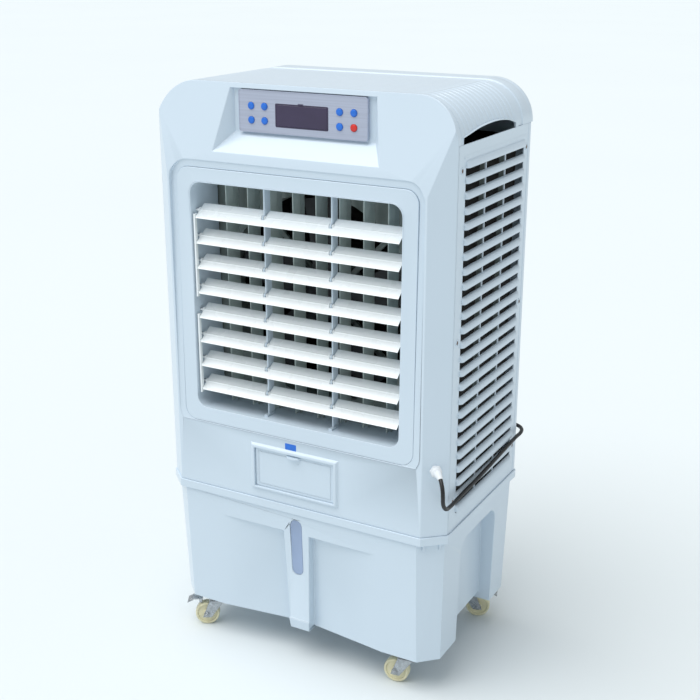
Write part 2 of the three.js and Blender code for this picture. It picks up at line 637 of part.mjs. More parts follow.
// ---------- casters ----------
const CASTERS = [
  ['front_left', -221, 46, 209],
  ['front_right', 221, 46, 186],
  ['rear_left', -221, 330, 150],
  ['rear_right', 221, 330, 20],
];
const TRAIL = 22;
for (const [name, x, y, heading] of CASTERS) {
  const top = -TANK_H - 0.5;
  const axle = FLOOR_Z + WHEEL_R;
  const local = (m) => {
    const g = toGeometry(m);
    g.rotateZ(rad(heading));
    g.translate(x, y, 0);
    return solid(g);
  };
  const cheek = (s) => cut(
    hull([[-14, -1, top - 15], [16, -1, top - 15], [TRAIL - 9, -1, axle - 7], [TRAIL + 9, -1, axle - 7],
      [-14, 1, top - 15], [16, 1, top - 15], [TRAIL - 9, 1, axle - 7], [TRAIL + 9, 1, axle - 7],
    ]).translate([0, s * 12.5, 0]),
    [rod([TRAIL, -20, axle], [TRAIL, 20, axle], 3.6, 8)],
  );
  const fork = join([
    turned([[0, 0], [19, 0], [19, 6], [12, 9.5], [0, 9.5]], [0, 0, top - 9.5], [0, 0, 1], 14),
    box(-15, 17, -13.5, 13.5, top - 17, top - 8),
    cheek(-1), cheek(1),
  ]);
  place(`fork_${name}`, local(fork), ZINC);
  const tread = WHEEL_R / Math.cos(Math.PI / 20);
  const wheel = turned(
    [[0, -14.6], [3, -14.6], [3, -9.2], [tread, -9.2], [tread, 9.2], [3, 9.2], [3, 14.6], [0, 14.6]],
    [TRAIL, 0, axle], [0, 1, 0], 20, Math.PI / 20,
  );
  place(`wheel_${name}`, local(wheel), NYLON);
  if (name === 'front_left' || name === 'rear_right') {
    const pedal = join([
      box(TRAIL + 12, 54, -9, 9, top - 14, top - 11.5),
      box(TRAIL + 10, TRAIL + 16, -9, 9, top - 21, top - 11.6),
      hull([[50, -12, top - 14], [50, 12, top - 14], [62, -12, top - 20], [62, 12, top - 20],
        [50, -12, top - 11.5], [50, 12, top - 11.5], [62, -12, top - 17.5], [62, 12, top - 17.5]]),
    ]);
    place(`brake_${name}`, local(pedal), ZINC);
  }
}

// ---------- cord: gland, free cord, coil and plug ----------
const out = V(FRONT_CUT, -(HALF_W - FRONT_FLAT), 0).normalize();
const face = V(281.35, 16.65, 146);
const at = (d) => face.clone().addScaledVector(out, d).toArray();
const gland = cut(
  join([rod(at(GAP), at(5), 11, 6), rod(at(4.9), at(12), 9.5, 18, 8.2), rod(at(-12), at(GAP + 0.1), 5.5, 12)]),
  [rod(at(2), at(20), CORD_R + 0.35, 16)],
);
const glandHole = rod(at(-20), at(10), 6, 12);
place('cord_gland', gland, WHITE);
cooler.children.find((m) => m.name === 'front_panel').geometry = (() => {
  const g = toGeometry(frontPanel.subtract(glandHole));
  g.translate(0, -MID_Y, -FLOOR_Z);
  return g;
})();

const floorY = FLOOR_Z + CORD_R + 0.3;
const COIL = [60, 442, 39];
const bend = HOOK[2] + CORD_R + 2.4;
const drop = HOOK[0] - bend;
const cordY = DEPTH + 18.4;
const corner = (a) => [280 + 30.4 * Math.cos(rad(a)), 358 + 30.4 * Math.sin(rad(a)), 99 + a / 45];
const overHook = (a) => [HOOK[0] + bend * Math.cos(rad(a)), cordY, HOOK[1] + bend * Math.sin(rad(a))];
const sag = (a) => {
  const [x, y] = at(16.5 + 31 * Math.sin(rad(a)));
  return [x, y, 146 - 31 * (1 - Math.cos(rad(a)))];
};
const turn = (a, x) => [x, 13.3 - 32 * Math.cos(rad(a)), 115 - 32 * Math.sin(rad(a))];
const route = [
  at(5), at(9), at(13), at(16.5), sag(22), sag(45), sag(68), sag(88), turn(22, 312.6), turn(45, 312.2),
  turn(68, 311.7), turn(88, 311.2), [310.6, 52, 83.5], [310.6, 90, 85], [310.4, 140, 86.5], [310.4, 200, 90], [310.4, 270, 95], [310.4, 330, 98.4],
  corner(5), corner(35), corner(62), corner(88), [262, cordY, 101], overHook(88), overHook(112),
  overHook(135), overHook(158), overHook(180), [drop, cordY, 30], [drop, cordY, -40], [204.5, cordY, -120],
  [196, cordY, -195], [184.5, cordY, -250], [178.8, cordY, -284], [173.6, cordY, -306.5],
  [161.5, cordY, -317.6], [146, cordY, floorY], [122, 390.2, floorY], [92, 391.8, floorY], [62, 391.8, floorY],
];
const curve = new THREE.CatmullRomCurve3(route.map((p) => V(...p)), false, 'centripetal');
const tubeShape = new THREE.Shape();
tubeShape.absarc(0, 0, CORD_R, 0, 2 * Math.PI, false);
const cordGeometry = new THREE.ExtrudeGeometry(tubeShape, { steps: 56, extrudePath: curve, curveSegments: 4 });
place('power_cord', solid(cordGeometry), BLACK);
console.error('free cord length', curve.getLength().toFixed(0));

const coilProfile = [];
const TURNS = 3;
for (let i = 0; i <= 8; i += 1) {
  const a = 2 * Math.PI * i / 8 - Math.PI / 2;
  coilProfile.push([COIL[2] + 6.6 * Math.cos(a), 6.8 + 6.8 * Math.sin(a)]);
}
place('cord_coil', turned(coilProfile, [COIL[0], COIL[1], FLOOR_Z + 0.3], [0, 0, 1], 24), BLACK);
console.error('coil length', (TURNS * 2 * Math.PI * COIL[2]).toFixed(0));

const plugAt = [-12, 436];
place('plug', join([
  box(plugAt[0] - 13, plugAt[0] + 13, plugAt[1] - 18, plugAt[1] + 16, FLOOR_Z + 0.3, FLOOR_Z + 24),
  rod([plugAt[0], plugAt[1] - 40, FLOOR_Z + 12], [plugAt[0], plugAt[1] - 17, FLOOR_Z + 12], 4.5, 12, 7),
  box(plugAt[0] - 9, plugAt[0] - 5, plugAt[1] + 15, plugAt[1] + 34, FLOOR_Z + 10, FLOOR_Z + 14),
  box(plugAt[0] + 5, plugAt[0] + 9, plugAt[1] + 15, plugAt[1] + 34, FLOOR_Z + 10, FLOOR_Z + 14),
]), BLACK);

export default cooler;
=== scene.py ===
"""Visible pieces of a portable evaporative cooler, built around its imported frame."""

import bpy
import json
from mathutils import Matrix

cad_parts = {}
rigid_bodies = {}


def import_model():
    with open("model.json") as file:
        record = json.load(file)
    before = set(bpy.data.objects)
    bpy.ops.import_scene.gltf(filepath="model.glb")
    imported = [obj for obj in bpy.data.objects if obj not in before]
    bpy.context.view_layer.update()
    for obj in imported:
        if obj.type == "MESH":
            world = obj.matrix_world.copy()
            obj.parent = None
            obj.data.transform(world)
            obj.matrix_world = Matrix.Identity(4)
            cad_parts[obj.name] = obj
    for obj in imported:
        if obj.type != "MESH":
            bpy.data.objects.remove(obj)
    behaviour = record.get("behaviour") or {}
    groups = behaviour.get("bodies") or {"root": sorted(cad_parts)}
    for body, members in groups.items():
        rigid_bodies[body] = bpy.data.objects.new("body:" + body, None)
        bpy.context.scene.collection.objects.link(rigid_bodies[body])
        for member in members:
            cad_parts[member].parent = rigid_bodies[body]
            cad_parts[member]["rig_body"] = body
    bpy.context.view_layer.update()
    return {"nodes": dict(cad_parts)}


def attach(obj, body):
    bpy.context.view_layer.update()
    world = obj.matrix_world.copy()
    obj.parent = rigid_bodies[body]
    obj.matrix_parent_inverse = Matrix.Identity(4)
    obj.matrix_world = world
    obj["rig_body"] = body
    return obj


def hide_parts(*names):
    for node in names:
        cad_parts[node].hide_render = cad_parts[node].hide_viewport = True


bl_info = {
    "name": "Evaporative Cooler Pieces",
    "version": (1, 0, 0),
    "blender": (4, 5, 0),
    "location": "View3D > Sidebar > Cooler",
    "description": "Builds the mouldings, grilles, louvres, casters and cord of a portable cooler",
    "category": "Object",
}

import json
from math import cos, pi, radians, sin, sqrt

import bmesh
import bpy
from mathutils import Matrix, Vector
from mathutils.bvhtree import BVHTree

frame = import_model()

# Drawing dimensions in millimetres: x to the right, y back from the flat front, z up from the tray's lip.
HALF_W = 300.0
DEPTH = 370.0
TOP_Z = 790.0
TOP_R = 77.0
FLOOR_Z = -325.0
SEAM_Y = 47.3
SEAM_Z = 712.3
OPEN_Z0 = 179.1
OPEN_Z1 = 613.9
BLADE_Y = 23.6
BLADE_Z = 223.9
BLADE_PITCH = 47.8
SUPPORT_X = 69.5
VANE_PITCH = 47.9
VANE_Y = 68.0
LINK_Z = 391.2
FAN_Z = 396.5
SLAT_TOP = 684.0
SLAT_PITCH = 26.0
SLAT_COUNT = 25
HOOK_X = 240.0
HOOK_Z = 70.0
COIL_X = 60.0
COIL_Y = 442.0
PLUG_X = -12.0
WHEEL_R = 25.0
TRAIL = 22.0
CASTERS = {
    "front_left": (-221, 46, 209),
    "front_right": (221, 46, 186),
    "rear_left": (-221, 330, 150),
    "rear_right": (221, 330, 20),
}


def spot(x, y, z):
    """Drawing millimetres to the frame's metres."""
    return Vector((x * 0.001, (y - 193.5) * 0.001, (z - FLOOR_Z) * 0.001))


def tone(r, g, b):
    """A display colour, 0 to 255, as linear light."""
    return tuple(
        c / 3294.6 if c <= 10 else ((c / 255 + 0.055) / 1.055) ** 2.4 for c in (r, g, b)
    )


# ---------------------------------------------------------------- sizes and colours


def length_of(name, about, value):
    return bpy.props.FloatProperty(
        name=name, description=about, default=value, min=0.0, unit="LENGTH", precision=5
    )


def colour_of(name, about, r, g, b):
    return bpy.props.FloatVectorProperty(
        name=name, description=about, default=tone(r, g, b), size=3, min=0.0, max=1.0, subtype="COLOR"
    )


class CoolerSizes(bpy.types.PropertyGroup):
    shell_edge: length_of("Shell edge", "Rounding on the edges of the housing mouldings", 0.0011)
    tank_edge: length_of("Tank edge", "Rounding on the edges of the water tank", 0.0016)
    blade_edge: length_of("Blade edge", "Rounding on louvre and vane edges", 0.00045)
    metal_edge: length_of("Metal edge", "Rounding on the pressed caster parts", 0.0004)
    cover_groove: length_of("Cover groove", "Depth of the grooves round the cover's corners", 0.0011)
    slat_bulge: length_of("Slat bulge", "How far a grille slat stands out of the grille", 0.006)
    cord_diameter: length_of("Cord diameter", "Diameter of the power cord", 0.0075)
    cord_length: length_of("Cord length", "Length of the power cord from gland to plug", 1.9)
    pad_flute: length_of("Pad flute", "Height of the flutes on the cooling pads", 0.0022)


class CoolerColours(bpy.types.PropertyGroup):
    shell: colour_of("Shell", "Pale housing plastic", 206, 220, 232)
    louvre: colour_of("Louvre", "White plastic of the louvres", 244, 249, 251)
    # The inner colour is darkened to paint the shade inside the outlet, on the fan wall and on the grille bars'
    # sides.
    inner: colour_of("Inner", "Plastic inside the air duct", 118, 127, 124)
    # The vane colour is darker than the white louvres to paint the shade on the vanes' sides.
    vane: colour_of("Vane", "Plastic of the upright vanes", 178, 190, 187)
    # The pad colour is near black to paint the shade seen through the grille gaps.
    pad: colour_of("Pad", "Paper of the cooling pads", 22, 20, 18)
    dark: colour_of("Dark plastic", "Fan and pump plastic", 30, 32, 36)
    motor: colour_of("Motor", "Painted motor shell", 52, 55, 60)
    plate: colour_of("Plate", "Silver control plate", 178, 184, 202)
    screen: colour_of("Screen", "Dark display window", 52, 42, 70)
    blue: colour_of("Blue", "Blue push buttons and sticker", 36, 112, 214)
    red: colour_of("Red", "Red push button", 214, 48, 40)
    sight: colour_of("Sight", "Frosted water-level window", 150, 168, 198)
    zinc: colour_of("Zinc", "Zinc-plated steel", 176, 180, 184)
    nylon: colour_of("Nylon", "Cream wheel nylon", 226, 220, 186)
    rubber: colour_of("Rubber", "Black cord jacket", 16, 16, 18)
    gland: colour_of("Gland", "White cord gland", 228, 232, 236)
    screw: colour_of("Screw", "Brown passivated screw steel", 120, 96, 84)
    floor: colour_of("Floor", "Plain pale floor", 222, 228, 230)


# ---------------------------------------------------------------- finishes


class Recipe:
    """A material with its shader and a few short ways to add nodes."""

    def __init__(self, name, colour, roughness, metallic=0.0):
        self.material = bpy.data.materials.new(name)
        self.material.use_nodes = True
        self.tree = self.material.node_tree
        self.shader = self.tree.nodes["Principled BSDF"]
        self.shader.inputs["Base Color"].default_value = (*colour, 1)
        self.shader.inputs["Roughness"].default_value = roughness
        self.shader.inputs["Metallic"].default_value = metallic
        self.material.diffuse_color = (*colour, 1)
        self.colour = colour
        self.roughness = roughness
        self.place = self.tree.nodes.new("ShaderNodeTexCoord").outputs["Object"]
        self.height = None

    def node(self, kind, **sockets):
        made = self.tree.nodes.new(kind)
        for key, value in sockets.items():
            made.inputs[key.replace("_", " ")].default_value = value
        return made

    def link(self, a, b):
        self.tree.links.new(a, b)

    def noise(self, scale, detail=3.0, stretch=(1, 1, 1)):
        mapping = self.node("ShaderNodeMapping", Scale=stretch)
        self.link(self.place, mapping.inputs["Vector"])
        grain = self.node("ShaderNodeTexNoise", Scale=scale, Detail=detail)
        self.link(mapping.outputs["Vector"], grain.inputs["Vector"])
        return grain.outputs["Fac"]

    def cells(self, scale):
        made = self.node("ShaderNodeTexVoronoi", Scale=scale)
        self.link(self.place, made.inputs["Vector"])
        return made

    def vary_colour(self, fac, light, dark, low=0.35, high=0.65):
        """Runs the colour between darker and lighter shades of itself."""
        ramp = self.node("ShaderNodeValToRGB")
        ramp.color_ramp.elements[0].position = low
        ramp.color_ramp.elements[1].position = high
        ramp.color_ramp.elements[0].color = (*[c * dark for c in self.colour], 1)
        ramp.color_ramp.elements[1].color = (*[min(1, c * light) for c in self.colour], 1)
        self.link(fac, ramp.inputs["Fac"])
        self.link(ramp.outputs["Color"], self.shader.inputs["Base Color"])

    def vary_roughness(self, fac, spread):
        span = self.node("ShaderNodeMapRange", From_Min=0.3, From_Max=0.7)
        span.inputs["To Min"].default_value = max(0.02, self.roughness - spread)
        span.inputs["To Max"].default_value = min(1.0, self.roughness + spread)
        self.link(fac, span.inputs["Value"])
        self.link(span.outputs["Result"], self.shader.inputs["Roughness"])

    def bump(self, fac, strength, depth):
        made = self.node("ShaderNodeBump", Strength=strength, Distance=depth)
        self.link(fac, made.inputs["Height"])
        if self.height is not None:
            self.link(self.height, made.inputs["Normal"])
        self.height = made.outputs["Normal"]
        self.link(self.height, self.shader.inputs["Normal"])


def moulded(name, colour, roughness, grain=900.0, grain_depth=0.00002, waviness=0.00005):
    """Injection-moulded plastic: slight tone drift, orange-peel skin and fine grain."""
    r = Recipe(name, colour, roughness)
    r.vary_colour(r.noise(4.0, 2.0), 1.006, 0.988)
    r.vary_roughness(r.noise(24.0, 2.0), 0.02)
    r.bump(r.noise(7.0, 1.0), 0.25, waviness)
    r.bump(r.noise(grain, 2.0), 0.1, grain_depth)
    r.shader.inputs["IOR"].default_value = 1.49
    return r


def shell_finish(c):
    r = moulded("shell_plastic", c.shell, 0.3)
    r.shader.inputs["Coat Weight"].default_value = 0.15
    r.shader.inputs["Coat Roughness"].default_value = 0.12
    return r.material


def louvre_finish(c):
    r = moulded("louvre_plastic", c.louvre, 0.28, 700.0)
    r.shader.inputs["Coat Weight"].default_value = 0.1
    r.shader.inputs["Coat Roughness"].default_value = 0.15
    return r.material


def duct_painted_shade_finish(c):
    # darkened duct plastic: painted shade for the inside of the air path
    return moulded("duct_plastic_painted_shade", c.inner, 0.42, 500.0).material


def vane_painted_shade_finish(c):
    # white vane plastic darkened as painted shade on the vanes' sides
    return moulded("vane_plastic_painted_shade", c.vane, 0.36, 600.0).material


def pad_painted_shade_finish(c):
    """Resin-stiffened paper darkened nearly to black as painted shade seen through the grille gaps, with streaks of
    tone along the flutes.
    """
    r = Recipe("pad_paper_painted_shade", c.pad, 0.92)
    r.vary_colour(r.noise(60.0, 8.0, (1, 0.35, 3.0)), 1.6, 0.4, 0.3, 0.75)
    r.bump(r.noise(420.0, 6.0, (1, 0.4, 2.5)), 0.7, 0.0006)
    return r.material


def dark_finish(c):
    return moulded("fan_plastic", c.dark, 0.5, 600.0).material


def motor_finish(c):
    r = Recipe("motor_enamel", c.motor, 0.45, 0.2)
    r.vary_colour(r.noise(22.0, 5.0), 1.15, 0.8)
    r.bump(r.noise(260.0, 3.0), 0.4, 0.0001)
    return r.material


def plate_finish(c):
    """Silver film with a fine brushed grain along x."""
    r = Recipe("control_plate_film", c.plate, 0.36, 0.25)
    streaks = r.noise(240.0, 4.0, (0.02, 1, 1.6))
    r.vary_colour(streaks, 1.05, 0.94)
    r.vary_roughness(streaks, 0.08)
    r.bump(streaks, 0.2, 0.00002)
    return r.material


def screen_finish(c):
    r = Recipe("display_lens", c.screen, 0.12)
    r.vary_colour(r.noise(9.0, 3.0), 1.25, 0.85)
    r.vary_roughness(r.noise(70.0, 4.0), 0.04)
    r.bump(r.noise(500.0, 2.0), 0.06, 0.00001)
    return r.material


def button_finish(name, colour):
    r = Recipe(name, colour, 0.35)
    r.vary_colour(r.noise(120.0, 3.0), 1.06, 0.92)
    r.bump(r.noise(1400.0, 2.0), 0.25, 0.00002)
    return r.material


def blue_finish(c):
    return button_finish("button_blue_rubber", c.blue)


def red_finish(c):
    return button_finish("button_red_rubber", c.red)


def sight_finish(c):
    """Frosted clear plastic seen against the tank wall."""
    r = Recipe("sight_frosted", c.sight, 0.3)
    r.vary_colour(r.noise(14.0, 3.0, (1, 1, 0.5)), 1.12, 0.88)
    r.bump(r.noise(800.0, 3.0), 0.3, 0.00003)
    r.shader.inputs["Subsurface Weight"].default_value = 0.15
    r.shader.inputs["Subsurface Radius"].default_value = (0.004, 0.005, 0.006)
    r.shader.inputs["Subsurface Scale"].default_value = 0.01
    return r.material


def zinc_finish(c):
    """Bright zinc plating with faint spangles and handling scuffs."""
    r = Recipe("zinc_plate", c.zinc, 0.32, 0.85)
    r.vary_colour(r.cells(170.0).outputs["Color"], 1.12, 0.8, 0.1, 0.9)
    r.vary_roughness(r.noise(130.0, 6.0), 0.14)
    r.bump(r.noise(600.0, 4.0), 0.25, 0.00003)
    return r.material


def nylon_finish(c):
    r = Recipe("wheel_nylon", c.nylon, 0.42)
    r.vary_colour(r.noise(45.0, 5.0), 1.04, 0.86)
    r.bump(r.noise(520.0, 4.0), 0.35, 0.00006)
    r.shader.inputs["Subsurface Weight"].default_value = 0.1
    r.shader.inputs["Subsurface Radius"].default_value = (0.003, 0.003, 0.002)
    r.shader.inputs["Subsurface Scale"].default_value = 0.01
    return r.material


def rubber_finish(c):
    r = Recipe("cord_jacket", c.rubber, 0.46)
    r.vary_colour(r.noise(90.0, 4.0), 1.7, 0.7)
    r.vary_roughness(r.noise(60.0, 4.0), 0.08)
    r.bump(r.noise(900.0, 4.0), 0.35, 0.00005)
    return r.material


def gland_finish(c):
    return moulded("gland_nylon", c.gland, 0.38, 800.0).material


def screw_finish(c):
    r = Recipe("screw_steel", c.screw, 0.4, 0.7)
    r.vary_colour(r.noise(300.0, 5.0), 1.3, 0.6)
    r.bump(r.noise(900.0, 3.0), 0.4, 0.00003)
    return r.material


def floor_finish(c):
    r = Recipe("studio_floor", c.floor, 0.85)
    r.vary_colour(r.noise(0.4, 2.0), 1.004, 0.994)
    r.bump(r.noise(60.0, 3.0), 0.05, 0.0002)
    r.shader.inputs["Specular IOR Level"].default_value = 0.15
    return r.material


FINISHES = {
    "body_plastic": shell_finish,
    "moving_plastic": louvre_finish,
    # duct plastic darkened as painted shade
    "inner_plastic": duct_painted_shade_finish,
    # pad paper darkened as painted shade behind the grille gaps
    "cooling_pad": pad_painted_shade_finish,
    "dark_plastic": dark_finish,
    "motor_paint": motor_finish,
    "panel_silver": plate_finish,
    "screen": screen_finish,
    "button_blue": blue_finish,
    "button_red": red_finish,
    "sight_plastic": sight_finish,
    "zinc": zinc_finish,
    "wheel_nylon": nylon_finish,
    "cord_rubber": rubber_finish,
    "gland_plastic": gland_finish,
    # vane plastic darkened as painted shade
    "vanes": vane_painted_shade_finish,
    "screws": screw_finish,
    "floor": floor_finish,
}
made_finishes = {}


def finish_for(slot):
    if slot not in made_finishes:
        made_finishes[slot] = FINISHES[slot](bpy.context.scene.cooler_colours)
    return made_finishes[slot]


# ---------------------------------------------------------------- shapes


def arc(cx, cy, r, a0, a1, steps):
    return [
        (cx + r * cos(radians(a0 + (a1 - a0) * i / steps)), cy + r * sin(radians(a0 + (a1 - a0) * i / steps)))
        for i in range(steps + 1)
    ]


def rounded(x0, x1, z0, z1, r, steps=6):
    return (
        arc(x1 - r, z0 + r, r, -90, 0, steps)
        + arc(x1 - r, z1 - r, r, 0, 90, steps)
        + arc(x0 + r, z1 - r, r, 90, 180, steps)
        + arc(x0 + r, z0 + r, r, 180, 270, steps)
    )


class Shape:
    """A mesh under construction, drawn in millimetres."""

    def __init__(self, turn=None):
        self.bm = bmesh.new()
        self.turn = turn
        self.rows = []

    def corner(self, point):
        """A new corner at a drawing point, turned with the piece if it has a turn."""
        where = spot(*point)
        return self.bm.verts.new(self.turn @ where if self.turn else where)

    @classmethod
    def of_node(cls, node):
        """A clean copy of a frame node: welded, with its flat areas merged."""
        made = cls()
        made.bm.from_mesh(frame["nodes"][node].data)
        bmesh.ops.remove_doubles(made.bm, verts=made.bm.verts, dist=2e-5)
        bmesh.ops.dissolve_limit(
            made.bm, angle_limit=radians(0.4), verts=made.bm.verts, edges=made.bm.edges
        )
        bmesh.ops.connect_verts_concave(made.bm, faces=made.bm.faces)
        for face in made.bm.faces:
            face.material_index = 0
        return made

    def loft(self, rings, caps=(True, True), wrap=True, loop=False):
        rows = self.rows = [[self.corner(p) for p in ring] for ring in rings]
        pairs = list(zip(rows, rows[1:])) + ([(rows[-1], rows[0])] if loop else [])
        for a, b in pairs:
            for i in range(len(a) if wrap else len(a) - 1):
                j = (i + 1) % len(a)
                self.bm.faces.new((a[i], a[j], b[j], b[i]))
        if caps[0] and not loop:
            self.bm.faces.new(rows[0][::-1])
        if caps[1] and not loop:
            self.bm.faces.new(rows[-1])
        return self

    def slab(self, x0, x1, y0, y1, z0, z1):
        return self.loft([[(x0, y0, z), (x1, y0, z), (x1, y1, z), (x0, y1, z)] for z in (z0, z1)])

    def turned(self, profile, centre, axis, steps=32, start=0.0):
        """Turns (radius, height) pairs about an axis; a zero radius closes an end."""
        w = Vector(axis).normalized()
        u = w.orthogonal().normalized()
        v = w.cross(u)
        rings, ends = [], [None, None]
        for k, (r, h) in enumerate(profile):
            if r < 1e-6:
                ends[0 if k == 0 else 1] = Vector(centre) + w * h
                continue
            rings.append([
                Vector(centre) + w * h + (u * cos(a) + v * sin(a)) * r
                for a in (start + 2 * pi * i / steps for i in range(steps))
            ])
        self.loft(rings, caps=(False, False), loop=ends == [None, None] and len(profile) > 2)
        for tip, ring in ((ends[0], self.rows[0]), (ends[1], self.rows[-1])):
            if tip is not None:
                top = self.corner(tip)
                for i in range(steps):
                    self.bm.faces.new((ring[i], ring[(i + 1) % steps], top))
        return self

    def ring_plate(self, outer, inner, to_point, a, b):
        """A plate between two outlines of the same point count, from depth a to depth b."""
        rings = [
            [to_point(p, a) for p in outer], [to_point(p, b) for p in outer],
            [to_point(p, b) for p in inner], [to_point(p, a) for p in inner],
        ]
        return self.loft(rings, loop=True)

    def piece(self, name, body, slot, edge=0.0, steps=2, angle=30, replaces=(), clamp=False, looks=None):
        """Closes the mesh, shades it, gives it its finish and lets it ride on its body."""
        bmesh.ops.recalc_face_normals(self.bm, faces=self.bm.faces)
        mesh = bpy.data.meshes.new(name)
        self.bm.to_mesh(mesh)
        self.bm.free()
        mesh.polygons.foreach_set("use_smooth", [True] * len(mesh.polygons))
        mesh.set_sharp_from_angle(angle=radians(angle))
        made = bpy.data.objects.new(name, mesh)
        bpy.context.scene.collection.objects.link(made)
        mesh.materials.append(finish_for(looks or slot))
        if edge > 0:
            round_edges(made, edge, steps, angle, clamp)
        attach(made, body)
        if replaces:
            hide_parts(*replaces)
        return made


def round_edges(made, width, steps=2, angle=30, clamp=True):
    rounding = made.modifiers.new("rounded_edges", "BEVEL")
    rounding.width = width
    rounding.segments = steps
    rounding.limit_method = "ANGLE"
    rounding.angle_limit = radians(angle)
    rounding.use_clamp_overlap = clamp
    rounding.harden_normals = True
    return rounding


def carve(made, tools):
    """Cuts the tool shapes out of a piece and keeps only the result."""
    for tool in tools:
        bmesh.ops.recalc_face_normals(tool.bm, faces=tool.bm.faces)
        mesh = bpy.data.meshes.new("cutter")
        tool.bm.to_mesh(mesh)
        tool.bm.free()
        cutter = bpy.data.objects.new("cutter", mesh)
        bpy.context.scene.collection.objects.link(cutter)
        step = made.modifiers.new("cut", "BOOLEAN")
        step.operation = "DIFFERENCE"
        step.solver = "EXACT"
        step.object = cutter
        shown = made.evaluated_get(bpy.context.evaluated_depsgraph_get())
        result = bpy.data.meshes.new_from_object(shown)
        made.modifiers.remove(step)
        made.data = result
        bpy.data.objects.remove(cutter)
        bpy.data.meshes.remove(mesh)
    return made


def plain_copy(name, node, slot, edge, steps=2, angle=30, clamp=False):
    body = frame["nodes"][node]["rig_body"]
    return Shape.of_node(node).piece(name, body, slot, edge, steps, angle, (node,), clamp)


def settle_strays(made, reach):
    """Applies the rounding, and puts any corner it threw off back on the unrounded surface."""
    before = BVHTree.FromPolygons(
        [v.co[:] for v in made.data.vertices], [f.vertices[:] for f in made.data.polygons]
    )
    result = bpy.data.meshes.new_from_object(made.evaluated_get(bpy.context.evaluated_depsgraph_get()))
    made.modifiers.clear()
    made.data = result
    for v in result.vertices:
        home, _, _, gap = before.find_nearest(v.co)
        if gap > reach:
            v.co = home
    return made


def sizes():
    return bpy.context.scene.cooler_sizes


# ---------------------------------------------------------------- cord


def gland_point(distance):
    return (281.35 + 0.6661 * distance, 16.65 - 0.7459 * distance, 146.0)


def cord_route():
    """The free cord from the gland, along the side, over the hook and down to the floor."""
    corner = lambda a: (280 + 30.4 * cos(radians(a)), 358 + 30.4 * sin(radians(a)), 99 + a / 45)
    hook = lambda a: (HOOK_X + 32.15 * cos(radians(a)), 388.4, HOOK_Z + 32.15 * sin(radians(a)))
    low = FLOOR_Z + 4.05

    def sag(a):
        x, y, z = gland_point(16.5 + 31 * sin(radians(a)))
        return (x, y, z - 31 * (1 - cos(radians(a))))

    turn = lambda a, x: (x, 13.3 - 32 * cos(radians(a)), 115 - 32 * sin(radians(a)))
    return [
        gland_point(5), gland_point(9), gland_point(13), gland_point(16.5), sag(22), sag(45), sag(68), sag(88),
        turn(22, 312.6), turn(45, 312.2), turn(68, 311.7), turn(88, 311.2), (310.6, 52, 83.5), (310.6, 90, 85),
        (310.4, 140, 86.5), (310.4, 200, 90), (310.4, 270, 95), (310.4, 330, 98.4),
        corner(5), corner(35), corner(62), corner(88), (262, 388.4, 101), hook(88), hook(112), hook(135),
        hook(158), hook(180), (207.85, 388.4, 30), (207.85, 388.4, -40), (204.5, 388.4, -120),
        (196, 388.4, -195), (184.5, 388.4, -250), (178.8, 388.4, -284), (173.6, 388.4, -306.5),
        (161.5, 388.4, -317.6), (146, 388.6, low), (122, 391.0, low), (92, 396.8, low),
    ]


def coil_route():
    """Two turns side by side on the floor, one on top, then over to the plug."""
    low, top = FLOOR_Z + 4.05, FLOOR_Z + 11.2
    points = []
    steps = 15

    def ease(turn, at, span=0.22):
        share = min(1.0, max(0.0, (turn - at) / span))
        return share ** 2 * (3 - 2 * share)

    for k in range(int(steps * 2.86) + 1):
        turn = k / steps
        r = 42.75 - 7.5 * ease(turn, 0.8) + 3.75 * ease(turn, 1.8)
        z = low + (top - low) * ease(turn, 1.8)
        a = radians(-90 - 360 * turn)
        points.append((COIL_X + r * cos(a), COIL_Y + r * sin(a), z))
    over = FLOOR_Z + 12.0
    points += [(78, 404.5, over - 0.1), (63, 388, over), (48, 375.5, over)]
    bend = 33
    for a in (-62, -90, -118, -146, -168):
        points.append((PLUG_X + bend * (1 + cos(radians(a))), 396 + bend * sin(radians(a)), over))
    points += [(PLUG_X, 400, over), (PLUG_X, 408, over)]
    return points


